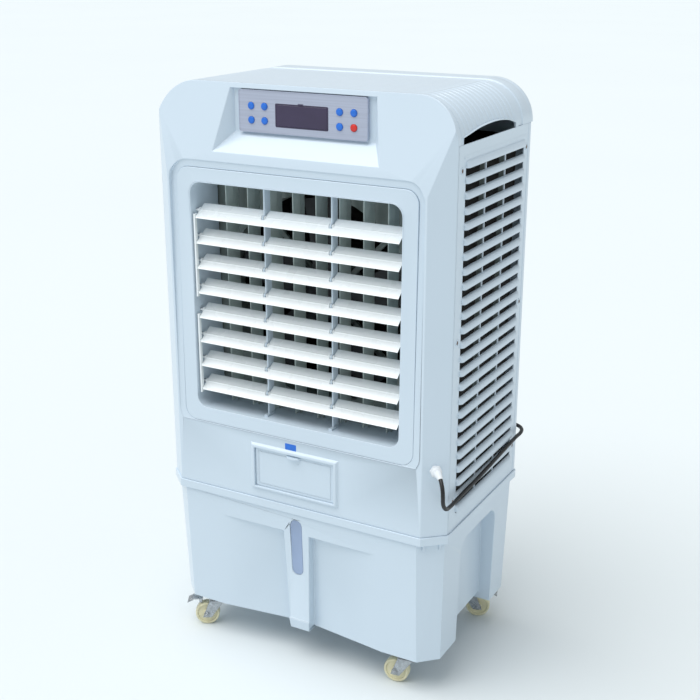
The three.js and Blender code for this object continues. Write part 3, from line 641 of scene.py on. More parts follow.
def build_cord():
    s = sizes()
    line = cord_route() + coil_route()
    curve = bpy.data.curves.new("power_cord_line", "CURVE")
    curve.dimensions = "3D"
    curve.bevel_depth = s.cord_diameter / 2
    curve.bevel_resolution = 4
    curve.resolution_u = 6
    curve.use_fill_caps = True
    spline = curve.splines.new("BEZIER")
    spline.bezier_points.add(len(line) - 1)
    for knot, p in zip(spline.bezier_points, line):
        knot.co = spot(*p)
        knot.handle_left_type = knot.handle_right_type = "AUTO"
    cord = bpy.data.objects.new("power_cord_flex", curve)
    bpy.context.scene.collection.objects.link(cord)
    curve.materials.append(finish_for("cord_rubber"))
    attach(cord, "cabinet")
    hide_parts("power_cord", "cord_coil")

    # ribbed strain relief that follows the first bend of the cord
    path = [Vector(p) for p in cord_route()[:9]]
    samples, run = [], 0.0
    for a, b in zip(path, path[1:]):
        for k in range(12):
            samples.append(a.lerp(b, k / 12))
    rings = []
    for k, p in enumerate(samples):
        if k:
            run += (p - samples[k - 1]).length
        if run > 27:
            break
        ahead = (samples[k + 1] - samples[max(0, k - 1)]).normalized()
        u = ahead.cross(Vector((0, 0, 1))).normalized()
        v = ahead.cross(u)
        rib = 0.55 if (int(run / 2.4) % 2 == 0 and run > 3) else 0.0
        r = 8.0 - 3.6 * (run / 27) + rib * (1 - run / 40)
        rings.append([p + (u * cos(2 * pi * i / 20) + v * sin(2 * pi * i / 20)) * r for i in range(20)])
    relief = Shape().loft(rings).piece("strain_relief", "cabinet", "gland_plastic", 0.0002, 1)

    # plug: rounded grip with finger ridges, ribbed tail and two blunt prongs
    plug = Shape()
    cz = FLOOR_Z + 12.0
    outline = [(396, 5.0, 5.0), (399, 5.6, 5.6), (402, 5.1, 5.1), (405, 6.0, 6.0), (408, 5.5, 5.5),
               (411, 6.6, 6.4), (414, 6.1, 5.9), (418, 8.4, 7.6), (422, 11.6, 9.6), (426, 12.9, 11.0),
               (430, 12.2, 10.4), (433, 13.0, 11.2), (436, 12.3, 10.5), (439, 13.0, 11.3), (442, 12.4, 10.7),
               (446, 13.0, 11.5), (450, 13.0, 11.7), (451.6, 12.2, 10.9), (452, 11.0, 9.6)]
    rings = []
    for y, hw, hh in outline:
        ring = []
        for i in range(28):
            a = 2 * pi * i / 28
            e = 0.62 if y > 416 else 1.0
            cx = abs(cos(a)) ** e * (1 if cos(a) > 0 else -1)
            sz = abs(sin(a)) ** e * (1 if sin(a) > 0 else -1)
            ring.append((PLUG_X + hw * cx, y, cz + hh * sz))
        rings.append(ring)
    plug.loft(rings)
    grip = plug.piece("plug_body", "cabinet", "cord_rubber", replaces=("plug",))
    prongs = Shape()
    for x in (-19.0, -5.0):
        rings = []
        for y, w, h in ((451, 3.1, 1.1), (466, 3.1, 1.1), (469, 2.6, 0.9), (470, 1.8, 0.5)):
            rings.append([(x + w * cos(a), y, cz + h * sin(a)) for a in [2 * pi * i / 12 for i in range(12)]])
        prongs.loft(rings)
    blades = prongs.piece("plug_prongs", "cabinet", "zinc", 0.0002, 1)

    # tie round the coil's bundle
    tie = Shape()
    a = radians(28)
    radial = Vector((cos(a), sin(a), 0))
    along = Vector((-sin(a), cos(a), 0))
    middle = Vector((COIL_X, COIL_Y, -317.75))
    outer, inner = [], []
    for i in range(24):
        t = 2 * pi * i / 24
        du = abs(cos(t)) ** 0.7 * (1 if cos(t) > 0 else -1)
        dz = abs(sin(t)) ** 0.7 * (1 if sin(t) > 0 else -1)
        for group, grow in ((outer, 0.7), (inner, 0.0)):
            p = middle + radial * (39 + du * (7.7 + grow))
            p.z = max(FLOOR_Z + 0.05, p.z + dz * (7.0 + grow))
            group.append(p)
    tie.loft([
        [p - along * 3 for p in outer], [p + along * 3 for p in outer],
        [p + along * 3 for p in inner], [p - along * 3 for p in inner],
    ], loop=True)
    knot = Vector(middle) + radial * 39
    tie.slab(knot.x - 4, knot.x + 4, knot.y - 4, knot.y + 4, -309.9, -307.4)
    band = tie.piece("coil_tie", "cabinet", "cord_rubber", 0.0004, 2)


def build_gland():
    """Hex gland body with a domed cap on the corner face."""
    axis = (0.6661, -0.7459, 0)
    gland = Shape()
    gland.turned([(5.5, -12), (5.5, 0.2), (4.6, 0.2), (4.6, -12)], gland_point(0), axis, 24)
    gland.turned(
        [(4.6, 0.1), (11.0, 0.1), (11.6, 0.9), (11.6, 4.4), (10.8, 5.2), (4.6, 5.2)], gland_point(0), axis, 6, 0.3,
    )
    gland.turned(
        [(4.4, 4.8), (9.6, 4.8), (9.6, 9.0), (9.2, 10.4), (8.2, 11.6), (6.6, 12.2), (4.4, 12.2)],
        gland_point(0), axis, 32,
    )
    gland.piece("gland_nut", "cabinet", "gland_plastic", 0.0004, 2, replaces=("cord_gland",))


# ---------------------------------------------------------------- housing front


def build_front_panel():
    s = sizes()
    settle_strays(plain_copy("front_shell", "front_panel", "body_plastic", s.shell_edge, 3), s.shell_edge)
    sticker = Shape()
    face = rounded(-19, 5, 129.4, 142, 1.4, 4)
    sticker.loft([[(x, y, z) for x, z in face] for y in (0.02, -0.35)])
    sticker.piece("door_sticker", "cabinet", "button_blue", 0.0001, 1)


def build_bezel():
    s = sizes()
    plain_copy("outlet_frame", "outlet_bezel", "body_plastic", s.shell_edge, 3)
    feet = Shape()
    for side in (-1, 1):
        x = side * SUPPORT_X
        feet.slab(x - 3.6, x + 3.6, 15, 38, OPEN_Z0 - 0.2, OPEN_Z0 + 4)
        feet.slab(x - 3.6, x + 3.6, 26, 40, OPEN_Z1 - 4, OPEN_Z1 + 0.2)
        for z in blade_heights():
            ring = arc(BLADE_Y, z, 4.6, 25, 305, 14) + arc(BLADE_Y, z, 2.9, 305, 25, 14)
            feet.loft([[(x + d, y, h) for y, h in ring] for d in (-1.5, 1.5)])
    feet.piece("support_feet", "cabinet", "body_plastic", 0.0003, 2)


def blade_heights():
    return [BLADE_Z + i * BLADE_PITCH for i in range(8)][::-1]


def blade_plate(shape, z):
    """A thin cambered blade, slotted at each support, built cell by cell as one closed skin."""
    c, n = cos(radians(35)), sin(radians(35))
    across = [-19.0, -18.4, -16.0, -12.5, -9.5, -7.3, -4.0, 0.0, 4.0, 8.0, 12.0, 15.5, 18.0, 19.0]
    along = [-208.6, -206.0, -160.0, -115.0]
    for x in (-SUPPORT_X, SUPPORT_X):
        along += [x - 3.5, x + 3.5]
        along += [-23.0, 23.0] if x < 0 else [115.0, 160.0, 206.0, 208.6]
    skins = []
    for lift in (0.1, -1.7):
        skin = []
        for x in along:
            row = []
            for u in across:
                thin = 0.55 if abs(u) > 18.7 else 0.0
                w = 2 * (1 - (u / 19) ** 2) + lift + (thin if lift < 0 else -thin)
                row.append(shape.corner((x, BLADE_Y + u * c + w * n, z + u * n + w * c)))
            skin.append(row)
        skins.append(skin)
    upper, lower = skins
    cells = {
        (i, k) for i in range(len(along) - 1) for k in range(len(across) - 1)
        if not (abs(abs((along[i] + along[i + 1]) / 2) - SUPPORT_X) < 1 and across[k] > -7.4)
    }
    for i, k in cells:
        for skin in skins:
            shape.bm.faces.new((skin[i][k], skin[i + 1][k], skin[i + 1][k + 1], skin[i][k + 1]))
        for (di, dk), a, b in (
            ((-1, 0), (i, k), (i, k + 1)), ((1, 0), (i + 1, k), (i + 1, k + 1)),
            ((0, -1), (i, k), (i + 1, k)), ((0, 1), (i, k + 1), (i + 1, k + 1)),
        ):
            if (i + di, k + dk) not in cells:
                (ai, ak), (bi, bk) = a, b
                shape.bm.faces.new((upper[ai][ak], upper[bi][bk], lower[bi][bk], lower[ai][ak]))


def build_louvres():
    s = sizes()
    tip = (BLADE_Y - 15.8 * cos(radians(35)), -15.8 * sin(radians(35)) - 0.4)
    x_axis = (1, 0, 0)
    collar = lambda x, r, wide: [(2.1, x), (r, x), (r, x + wide), (2.1, x + wide)]
    for i, z in enumerate(blade_heights(), 1):
        name = f"louvre_{i}"
        blade = Shape()
        blade_plate(blade, z)
        blade.piece(f"louvre_blade_{i}", name, "moving_plastic", angle=40, replaces=(name,))
        pins = Shape()
        spine = [(0, -217.1), (1.9, -217.1), (2.2, -216.6), (2.2, -208), (1.8, -206)]
        spine += [(r, -x) for r, x in spine[::-1]]
        pins.turned(spine, (0, BLADE_Y, z), x_axis, 20)
        pins.turned([(0, -213.6), (1.5, -213.4), (1.5, -202.6), (0, -202.6)], (0, tip[0], z + tip[1]), x_axis, 16)
        for x in (-209.2, 208.0):
            pins.turned(collar(x, 5.0, 1.8), (0, BLADE_Y, z), x_axis, 24)
        for side in (-1, 1):
            for x in (-5.2, 3.5):
                pins.turned(collar(x, 4.2, 1.7), (side * SUPPORT_X, BLADE_Y, z), x_axis, 20)
        pins.piece(f"louvre_pins_{i}", name, "moving_plastic", 0.0002, 1)
    for which in ("upper", "lower"):
        node = f"louvre_link_{which}"
        plain_copy(f"louvre_bar_{which}", node, "moving_plastic", s.blade_edge)


def build_vanes():
    s = sizes()
    for i in range(8):
        name = f"vane_{i + 1}"
        x = (i - 3.5) * VANE_PITCH
        vane = Shape.of_node(name)
        for z0, z1 in ((OPEN_Z0 + 3.6, OPEN_Z0 + 13), (OPEN_Z1 - 13, OPEN_Z1 - 3.6)):
            vane.turned([(2.05, z0), (3.6, z0), (3.6, z1), (2.05, z1)], (x, VANE_Y, 0), (0, 0, 1), 18)
        vane.slab(x - 2.0, x + 2.0, VANE_Y + 7.2, VANE_Y + 9.2, LINK_Z - 12, LINK_Z + 12)
        # the vanes take the darkened vane look: painted shade on their sides
        vane.piece(
            f"vane_fin_{i + 1}", name, "moving_plastic", s.blade_edge, 2, replaces=(name,), looks="vanes",
        )
    bar = Shape.of_node("vane_link")
    bar.piece("vane_bar", "vane_link", "moving_plastic", s.blade_edge, 2, replaces=("vane_link",))


def build_controls():
    plain_copy("control_face", "control_plate", "panel_silver", 0.0005, 2)
    rim = Shape()
    rim.ring_plate(
        rounded(-129.3, 129.3, 706, 779.6, 5, 6), rounded(-127.9, 127.9, 707.4, 778.2, 3.8, 6),
        lambda p, y: (p[0], y, p[1]), 43.2, 42.5,
    )
    rim.piece("control_rim", "cabinet", "panel_silver", 0.0002, 1)
    window = Shape()
    face = rounded(-51, 51, 720, 756.5, 1.6, 5)
    window.loft([
        [(x, 47.4, z) for x, z in face], [(x, 42.7, z) for x, z in face],
        [(x * 0.992, 42.25, 738.25 + (z - 738.25) * 0.978) for x, z in face],
    ])
    window.ring_plate(
        rounded(-53.2, 53.2, 717.8, 758.7, 2.4, 5), rounded(-51.2, 51.2, 719.8, 756.7, 1.4, 5),
        lambda p, y: (p[0], y, p[1]), 43.1, 42.6,
    )
    window.slab(-6.6, 3.4, 42.2, 43.2, 757.4, 760.2)
    window.piece("display_lens", "cabinet", "screen", 0.00015, 1, replaces=("display_window",))


def build_buttons():
    number = 0
    for x in (-103, -75.4, 75.4, 103):
        for z in (752.0, 727.2):
            number += 1
            node = f"button_{number}"
            slot = "button_red" if number == 8 else "button_blue"
            cap = Shape().turned(
                [(0, 40.1), (2.6, 40.16), (4.4, 40.42), (5.6, 40.85), (6.2, 41.4), (6.4, 42.1), (6.4, 45.3),
                 (7.6, 45.3), (7.6, 46.5), (0, 46.5)],
                (x, 0, z), (0, 1, 0), 32,
            )
            cap.piece(f"button_cap_{number}", node, slot, replaces=(node,))
    rings = Shape()
    for x in (-103, -75.4, 75.4, 103):
        for z in (752.0, 727.2):
            rings.turned([(6.75, 43.1), (6.9, 42.6), (7.9, 42.55), (8.3, 43.1)], (x, 0, z), (0, 1, 0), 32)
    rings.piece("button_rings", "cabinet", "panel_silver")


def build_fill_door():
    door = Shape.of_node("fill_door")
    rib = rounded(-79, 79, 48, 115, 2, 4)
    inner = rounded(-77.6, 77.6, 49.4, 113.6, 1.2, 4)
    door.ring_plate(rib, inner, lambda p, y: (p[0], y, p[1]), 0.1, -0.35)
    door.turned([(0, -0.5), (1.2, -0.45), (1.5, 0.1), (0, 0.1)], (9, 0, 104), (0, 1, 0), 16)
    door.piece(
        "fill_door_leaf", "fill_door", "moving_plastic", 0.0005, 2, replaces=("fill_door",), looks="body_plastic",
    )


# ---------------------------------------------------------------- top cover


def cover_profile(inset, steps=12):
    """Points round the cover from the left seam over the top to the right seam, with a groove weight each."""
    x, z, r = HALF_W - inset, TOP_Z - inset, TOP_R - inset
    cz = z - r
    points = []
    for side in (-1, 1):
        run = [(side * x, SEAM_Z, 0.0)]
        for k in range(steps + 1):
            a = 90.0 * k / steps
            w = min(1.0, max(0.0, (a - 4) / 16)) * min(1.0, max(0.22, (96 - a) / 16))
            run.append((side * (x - r) + side * r * cos(radians(a)), cz + r * sin(radians(a)), w))
        if side < 0:
            points += run
            for k in range(1, 12):
                points.append((-(x - r) + 2 * (x - r) * k / 12, z, 0.22))
        else:
            points += run[::-1]
    return points


# the arch over each hand grip, as (y, z) from back to front
GRIP_ARCH = [
    (283, 721), (270, 725.4), (250, 729.8), (228, 732.9), (205, 734.9), (180, 735.6),
    (150, 734.9), (120, 733), (100, 730.6), (78, 727.4), (52, 724),
]


def build_top_cover():
    s = sizes()
    groove = s.cover_groove * 1000
    stations = [(SEAM_Y, 0.0), (52.0, 0.0)]
    for k in range(13):
        y = 64 + 17.4 * k
        stations += [(y - 2.6, 0.0), (y - 1.1, groove), (y + 1.1, groove), (y + 2.6, 0.0)]
    stations += [(295.2, 0.0), (297.2, 2.0), (316.8, 2.0), (318.8, 0.0)]
    stations += [(352, 0.0), (354, 0.5), (356, 0.0), (366.5, 0.0), (368.8, 0.7), (370, 2.6)]
    rings = []
    for y, depth in stations:
        ring = []
        for x, z, w in cover_profile(0):
            # a groove sinks towards the middle of the corner's curve
            wide = 1.0 if depth == 2.0 or y > 366 else w
            d = depth * wide
            centre_x = max(-(HALF_W - TOP_R), min(HALF_W - TOP_R, x))
            centre_z = min(z, TOP_Z - TOP_R)
            away = Vector((x - centre_x, z - centre_z))
            away = away.normalized() if away.length > 1e-6 else Vector((0, 0))
            ring.append((x - away.x * d, y, z - away.y * d if z > SEAM_Z + 0.01 else z))
        rings.append(ring)
    inner = [[(x, y, max(z, SEAM_Z)) for x, z, _ in cover_profile(4.0)] for y in (367.0, SEAM_Y)]
    cover = Shape()
    rows = [[cover.bm.verts.new(spot(*p)) for p in ring] for ring in rings + inner]
    pairs = list(zip(rows, rows[1 : len(rings)])) + [(rows[-2], rows[-1]), (rows[-1], rows[0])]
    for a, b in pairs:
        for i in range(len(a) - 1):
            cover.bm.faces.new((a[i], a[i + 1], b[i + 1], b[i]))
    back, back_in = rows[len(rings) - 1], rows[-2]
    cover.bm.faces.new(back)
    cover.bm.faces.new(back_in)
    # underside rims along both sides
    for end in (0, -1):
        outer_line = [r[end] for r in rows[: len(rings)]]
        inner_line = [rows[-2][end], rows[-1][end]]
        cover.bm.faces.new(outer_line + inner_line)
    cover.bm.faces.new([back[0], back[-1], back_in[-1], back_in[0]])
    made = cover.piece("cover_shell", "cabinet", "body_plastic", replaces=("top_cover",))
    grips = []
    for side in (-1, 1):
        tool = Shape()
        edge = [(52, 690), (283, 690), *GRIP_ARCH]
        tool.loft([[(side * 320, y, z) for y, z in edge], [(side * 285, y, z) for y, z in edge]])
        grips.append(tool)
    carve(made, grips)
    smooth_again(made)
    round_edges(made, 0.0006, 2, 40)
    # moulded rim round each grip cut-out
    for side, word in ((-1, "left"), (1, "right")):
        lip = Shape()
        edge = [(283, 713), *GRIP_ARCH, (52, 713)]
        rings = []
        for k, (y, z) in enumerate(edge):
            a = Vector(edge[max(0, k - 1)])
            b = Vector(edge[min(len(edge) - 1, k + 1)])
            n = Vector((-(b - a).y, (b - a).x)).normalized()
            out = Vector((y, z)) + n * -0.8
            inn = Vector((y, z)) + n * 1.0
            corners = ((296.2, out), (300.5, out), (300.5, inn), (296.2, inn))
            rings.append([(side * x, point.x, point.y) for x, point in corners])
        lip.loft(rings)
        lip.piece(f"grip_rim_{word}", "cabinet", "body_plastic", 0.0004, 2)


def smooth_again(made, angle=30):
    made.data.polygons.foreach_set("use_smooth", [True] * len(made.data.polygons))
    made.data.set_sharp_from_angle(angle=radians(angle))


# ---------------------------------------------------------------- grilles and pads


def slat_section(bulge, tall=10.6):
    """A slat's section as (outward, down): a bead along the top, a convex face and an open underside."""
    rise = lambda t: sqrt(max(0.0, 1 - (1 - t) ** 2))
    outer = [(bulge * rise(t) * 0.98, tall * t) for t in (0.02, 0.07, 0.15, 0.27, 0.42, 0.6, 0.8, 0.95)]
    lip = [(bulge, tall), (bulge - 0.3, tall + 0.6), (bulge - 1.6, tall + 0.6), (bulge - 1.9, tall)]
    inner = [((bulge - 1.9) * rise(t), tall * t + 1.6) for t in (0.82, 0.6, 0.4, 0.22, 0.1)]
    back = [(-1.2, 2.6), (-2.4, 2.6), (-2.4, -0.4), (-0.6, -0.7)]
    return outer + lip + inner + back


def add_slats(shape, start, end, to_point, bulge):
    """Slats from start to end, their ends rounded like a quarter of a ball."""
    section = slat_section(bulge)
    run = 7.0
    shares = [0.0, 0.06, 0.16, 0.32, 0.55, 0.8, 1.0]
    stations = [(start + run * t, max(0.06, sqrt(1 - (1 - t) ** 2))) for t in shares]
    stations += [(start + (end - start) * k / 4, 1.0) for k in (1, 2, 3)]
    stations += [(end - run * t, max(0.06, sqrt(1 - (1 - t) ** 2))) for t in shares[::-1]]
    for i in range(SLAT_COUNT):
        top = SLAT_TOP - i * SLAT_PITCH
        rings = []
        for along, share in stations:
            rings.append([
                to_point(along, out * share if out > 0 else out, top - down) for out, down in section
            ])
        shape.loft(rings)


def add_screws(shape, heads, spots, to_point, normal):
    boss = [(3.9, -0.6), (6.4, -0.6), (6.2, 0.7), (5.4, 1.3), (4.4, 1.3), (3.9, 0.6)]
    head = [(0, 0.25), (1.0, 0.25), (1.3, 0.75), (2.6, 0.7), (3.6, 0.15), (3.7, -0.5), (0, -0.5)]
    for along, z in spots:
        centre = to_point(along, 0.0, z)
        shape.turned(boss, centre, normal, 28)
        heads.turned(head, centre, normal, 24)


def build_side_grilles():
    s = sizes()
    for side, word in ((1, "right"), (-1, "left")):
        to_point = lambda along, out, z, side=side: (side * (HALF_W + out), along, z)
        grille = Shape()
        outer = rounded(37.6, 358, 16.3, 712, 0.6, 3)
        inner = rounded(66, 328, 45, 683, 3.0, 3)
        grille.ring_plate(outer, inner, lambda p, x: (side * x, p[0], p[1]), 297.5, 300)
        # raised rear corner strip and a shallow step under the top rail
        strip = ((299.9, 346.5), (300.7, 347.3), (300.7, 357.2), (299.9, 358))
        grille.loft([[(side * x, y, z) for x, y in strip] for z in (17, 711)])
        step = ((299.9, 686.5), (300.9, 688.5), (300.9, 690), (299.9, 695))
        grille.loft([[(side * x, y, z) for x, z in step] for y in (60, 334)])
        heads = Shape()
        spots = [(y, z) for y in (51, 339) for z in (670, 375, 76)]
        add_screws(grille, heads, spots, to_point, (side, 0, 0))
        grille.piece(
            f"grille_frame_{word}", "cabinet", "body_plastic", 0.0004, 2, replaces=(f"{word}_grille",),
        )
        heads.piece(f"grille_screws_{word}", "cabinet", "zinc", looks="screws")
        slats = Shape()
        add_slats(slats, 65.4, 328.6, to_point, s.slat_bulge * 1000)
        # the grille bars' light front strips ride with the slats; their deep sides follow below
        for k in (1, 2):
            y = 66 + k * 262 / 3
            slats.slab(*sorted((side * 297.1, side * 299.5)), y - 1.4, y + 1.4, 42, 686)
        slats.piece(f"grille_slats_{word}", "cabinet", "body_plastic")
        # deep sides of the grille bars in the darkened duct plastic: painted shade behind the light front strips
        bars = Shape()
        for k in (1, 2):
            y = 66 + k * 262 / 3
            bars.slab(*sorted((side * 288, side * 297.3)), y - 1.5, y + 1.5, 41, 687)
        bars.piece(f"grille_bars_{word}", "cabinet", "inner_plastic", 0.0004, 2)


def build_rear_grille():
    s = sizes()
    grille = Shape()
    outer = rounded(-288, 288, 16.3, 712, 0.6, 3)
    inner = rounded(-262, 262, 45, 683, 3.0, 3)
    grille.ring_plate(outer, inner, lambda p, y: (p[0], y, p[1]), 367.5, 370)
    for side in (-1, 1):
        plan = [(287.9, 367.5), (287.9, 370), (300, 358.3), (297.5, 358.3)]
        plan = [(side * x, y) for x, y in plan]
        grille.loft([[(x, y, z) for x, y in plan] for z in (16.3, 712)])
    to_point = lambda along, out, z: (along, DEPTH + out, z)
    heads = Shape()
    add_screws(grille, heads, [(x, z) for x in (-275, 275) for z in (670, 375, 140)], to_point, (0, 1, 0))
    # cord hook: an arched shelf with an upturned lip
    hook = Shape()
    arch = lambda r, y, angles: [
        (HOOK_X + r * cos(radians(a)), y, HOOK_Z + r * sin(radians(a))) for a in angles
    ]
    over, back = range(0, 181, 9), range(180, -1, -9)
    shelf = [
        (369.5, 28.5), (371, 26.8), (373, 26), (391, 26), (392.6, 26.8),
        (393.4, 29), (393.9, 32.4), (394.6, 33), (395.4, 32.8), (396, 32),
    ]
    hook.loft([arch(r, y, over) + arch(r - 4, y, back) for y, r in shelf])
    hook.loft([arch(24, y, over) for y in (369.6, 371.6)])
    hook.piece("cord_hook", "cabinet", "body_plastic", 0.0004, 2)
    grille.piece("grille_frame_rear", "cabinet", "body_plastic", 0.0004, 2, replaces=("rear_grille",))
    heads.piece("grille_screws_rear", "cabinet", "zinc", looks="screws")
    slats = Shape()
    add_slats(slats, -262.6, 262.6, to_point, s.slat_bulge * 1000)
    # the grille bars' light front strips ride with the slats; their deep sides follow below
    for k in range(1, 6):
        x = -262 + k * 524 / 6
        slats.slab(x - 1.4, x + 1.4, 367.1, 369.5, 42, 686)
    slats.piece("grille_slats_rear", "cabinet", "body_plastic")
    # deep sides of the grille bars in the darkened duct plastic: painted shade behind the light front strips
    bars = Shape()
    for k in range(1, 6):
        x = -262 + k * 524 / 6
        bars.slab(x - 1.5, x + 1.5, 358, 367.3, 41, 687)
    bars.piece("grille_bars_rear", "cabinet", "inner_plastic", 0.0004, 2)


def build_pads():
    s = sizes()
    flute = s.pad_flute * 1000

    def pad(name, node, a0, a1, to_point, thick):
        shape = Shape()
        rows = 130
        cols = max(8, int((a1 - a0) / 11))
        for face in (0, 1):
            grid = []
            for k in range(rows + 1):
                z = 40 + 650.0 * k / rows
                line = []
                for c in range(cols + 1):
                    a = a0 + (a1 - a0) * c / cols
                    wave = sin(2 * pi * (z + (3.5 if c % 2 else 0)) / 14.0)
                    edge = 0.0 if k in (0, rows) or c in (0, cols) else 1.0
                    d = flute * (0.5 - 0.5 * wave) * edge
                    line.append(shape.bm.verts.new(spot(*to_point(a, thick - d if face else d, z))))
                grid.append(line)
            for k in range(rows):
                for c in range(cols):
                    shape.bm.faces.new((grid[k][c], grid[k][c + 1], grid[k + 1][c + 1], grid[k + 1][c]))
            if face == 0:
                front = grid
        rim = lambda g: g[0] + [row[-1] for row in g[1:]] + g[-1][-2::-1] + [row[0] for row in g[-2:0:-1]]
        a, b = rim(front), rim(grid)
        for i in range(len(a)):
            j = (i + 1) % len(a)
            shape.bm.faces.new((a[i], a[j], b[j], b[i]))
        # the pad paper's near-black colour paints the shade behind the grille gaps
        shape.piece(name, "cabinet", "cooling_pad", angle=60, replaces=(node,))

    pad("pad_paper_right", "right_pad", 63, 324, lambda a, d, z: (262 + d, a, z), 24)
    pad("pad_paper_left", "left_pad", 63, 324, lambda a, d, z: (-286 + d, a, z), 24)
    pad("pad_paper_rear", "rear_pad", -258, 258, lambda a, d, z: (a, 332 + d, z), 24)


# ---------------------------------------------------------------- base


def build_tank():
    s = sizes()
    settle_strays(plain_copy("tank_shell", "water_tank", "body_plastic", s.tank_edge, 3, 25), s.tank_edge)


def build_tray():
    tray = Shape.of_node("base_tray")
    for x, y in ((266, 8), (288, 30)):
        nub = [(0, -13.6), (1.6, -13.5), (2.4, -12.6), (2.6, -0.1), (0, -0.1)]
        tray.turned(nub, (x, y, 0), (0, 0, 1), 20)
    tray.piece("tray_rim", "cabinet", "body_plastic", 0.0008, 2, replaces=("base_tray",))


def build_sight():
    plain_copy("sight_window", "sight_glass", "sight_plastic", 0.0008, 3)


# ---------------------------------------------------------------- air path


def build_air_path():
    # fan wall in the darkened duct plastic: painted shade for the inside of the outlet
    plain_copy("fan_wall", "fan_bulkhead", "inner_plastic", 0.0005, 2)
    motor = Shape.of_node("fan_motor")
    for k in range(10):
        a = 2 * pi * k / 10
        u = Vector((cos(a), 0, sin(a)))
        v = Vector((-sin(a), 0, cos(a)))
        base = Vector((0, 0, FAN_Z))
        fin = ((52.5, -1.5), (56.0, -0.9), (56.0, 0.9), (52.5, 1.5))
        motor.loft([[base + u * r + v * w + Vector((0, y, 0)) for r, w in fin] for y in (178, 212)])
    motor.piece("motor_shell", "cabinet", "motor_paint", 0.0006, 2, replaces=("fan_motor",))
    fan = Shape()
    fan.turned(
        [(0, 101.4), (12, 101.6), (24, 102.6), (31, 104.6), (36, 108), (39.4, 112), (40, 130),
         (36.5, 130), (36, 112), (8, 112), (8, 108), (0, 108)],
        (0, 0, FAN_Z), (0, 1, 0), 40,
    )
    for k in range(5):
        spin = radians(k * 72 + 10)
        rings = []
        for j in range(9):
            t = j / 8
            r = 36 + (188 - 36) * t
            half = 17 + 21 * sin(pi * min(1, t * 0.62 + 0.05))
            rise = 11.5 - 3.0 * t
            sweep = radians(9) * t * t
            upper, lower = [], []
            for i in range(9):
                u = -1 + 2 * i / 8
                a = spin + sweep + u * half / r
                y = 118 - u * rise + 2.6 * (1 - u * u)
                thick = 1.3 * sqrt(max(0.04, 1 - u * u))
                upper.append((r * cos(a), y + thick, FAN_Z + r * sin(a)))
                lower.append((r * cos(a), y - thick, FAN_Z + r * sin(a)))
            rings.append(lower + upper[::-1])
        fan.loft(rings)
    fan.piece("fan_wheel", "impeller", "dark_plastic", replaces=("fan_impeller",))
    plain_copy("pump_body", "water_pump", "dark_plastic", 0.0006, 2)


# ---------------------------------------------------------------- casters


def turn_for(name):
    x, y, heading = CASTERS[name]
    middle = spot(x, y, 0)
    middle.z = 0
    heading = Matrix.Rotation(radians(heading), 4, "Z")
    return Matrix.Translation(middle) @ heading @ Matrix.Translation(-spot(0, 0, FLOOR_Z))


def build_casters():
    s = sizes()
    top = -253.1
    axle = FLOOR_Z + WHEEL_R
    for name in CASTERS:
        turn = turn_for(name)
        fork = Shape.of_node(f"fork_{name}")
        fork.turn = turn
        # ball race, king rivet, axle heads and folded lips on the cheeks
        race = ((12.4, 9.3), (20.4, 9.3), (21.2, 8.2), (21.2, 6.4), (19.6, 5.6), (12.4, 5.6))
        rivet = ((0, 21.2), (3.2, 21), (4.8, 19.6), (5.2, 17.2), (0, 17.2))
        for profile, steps in ((race, 36), (rivet, 24)):
            fork.turned([(r, top - down) for r, down in profile], (0, 0, 0), (0, 0, 1), steps)
        for side in (-1, 1):
            fork.turned(
                [(0, 18.2), (2.2, 18.0), (3.0, 17.2), (3.0, 16.2), (5.6, 16.2),
                 (6.0, 15.6), (6.0, 14.0), (7.4, 13.9), (7.4, 13.6), (0, 13.6)],
                (TRAIL, 0, axle), (0, side, 0), 6 if side > 0 else 24,
            )
            y0, y1 = side * 13.4, side * 15.4
            lip = [(-14.6, top - 16.5), (16.6, top - 16.5), (16.4, top - 14.4), (-14.4, top - 14.4)]
            fork.loft([[(x, y, z) for x, z in lip] for y in (y0, y1)])
        fork.piece(f"caster_fork_{name}", f"fork_{name}", "zinc", s.metal_edge, 2, replaces=(f"fork_{name}",))

        wheel = Shape(turn)
        half = [
            (3.2, -9.6), (7.0, -9.6), (7.6, -9.2), (8.0, -6.6), (19.0, -6.0),
            (20.2, -8.6), (22.6, -9.1), (24.2, -8.2), (24.8, -6.4), (WHEEL_R, -3.0),
        ]
        tread = half + [(r, -h) for r, h in half[::-1]]
        wheel.turned(tread, (TRAIL, 0, axle), (0, 1, 0), 56)
        wheel.piece(
            f"caster_wheel_{name}", f"wheel_{name}", "wheel_nylon", 0.0003, 2, angle=40, replaces=(f"wheel_{name}",),
        )
        hub = Shape(turn)
        hub.turned([(0, -13.3), (3.0, -13.3), (3.0, 13.3), (0, 13.3)], (TRAIL, 0, axle), (0, 1, 0), 20)
        hub.piece(f"caster_axle_{name}", f"wheel_{name}", "zinc")
    for name in ("front_left", "rear_right"):
        pedal = Shape.of_node(f"brake_{name}")
        pedal.turn = turn_for(name)
        for k in range(5):
            y = -9.6 + 4.8 * k
            tooth = ((49, 12.4), (61.4, 17.6), (60.6, 16.2), (50, 10.9))
            pedal.loft([[(x, side, top - down) for x, down in tooth] for side in (y - 1.0, y + 1.0)])
        pedal.piece(
            f"caster_pedal_{name}", f"brake_{name}", "zinc", s.metal_edge, 2, replaces=(f"brake_{name}",),
        )


# ---------------------------------------------------------------- stage


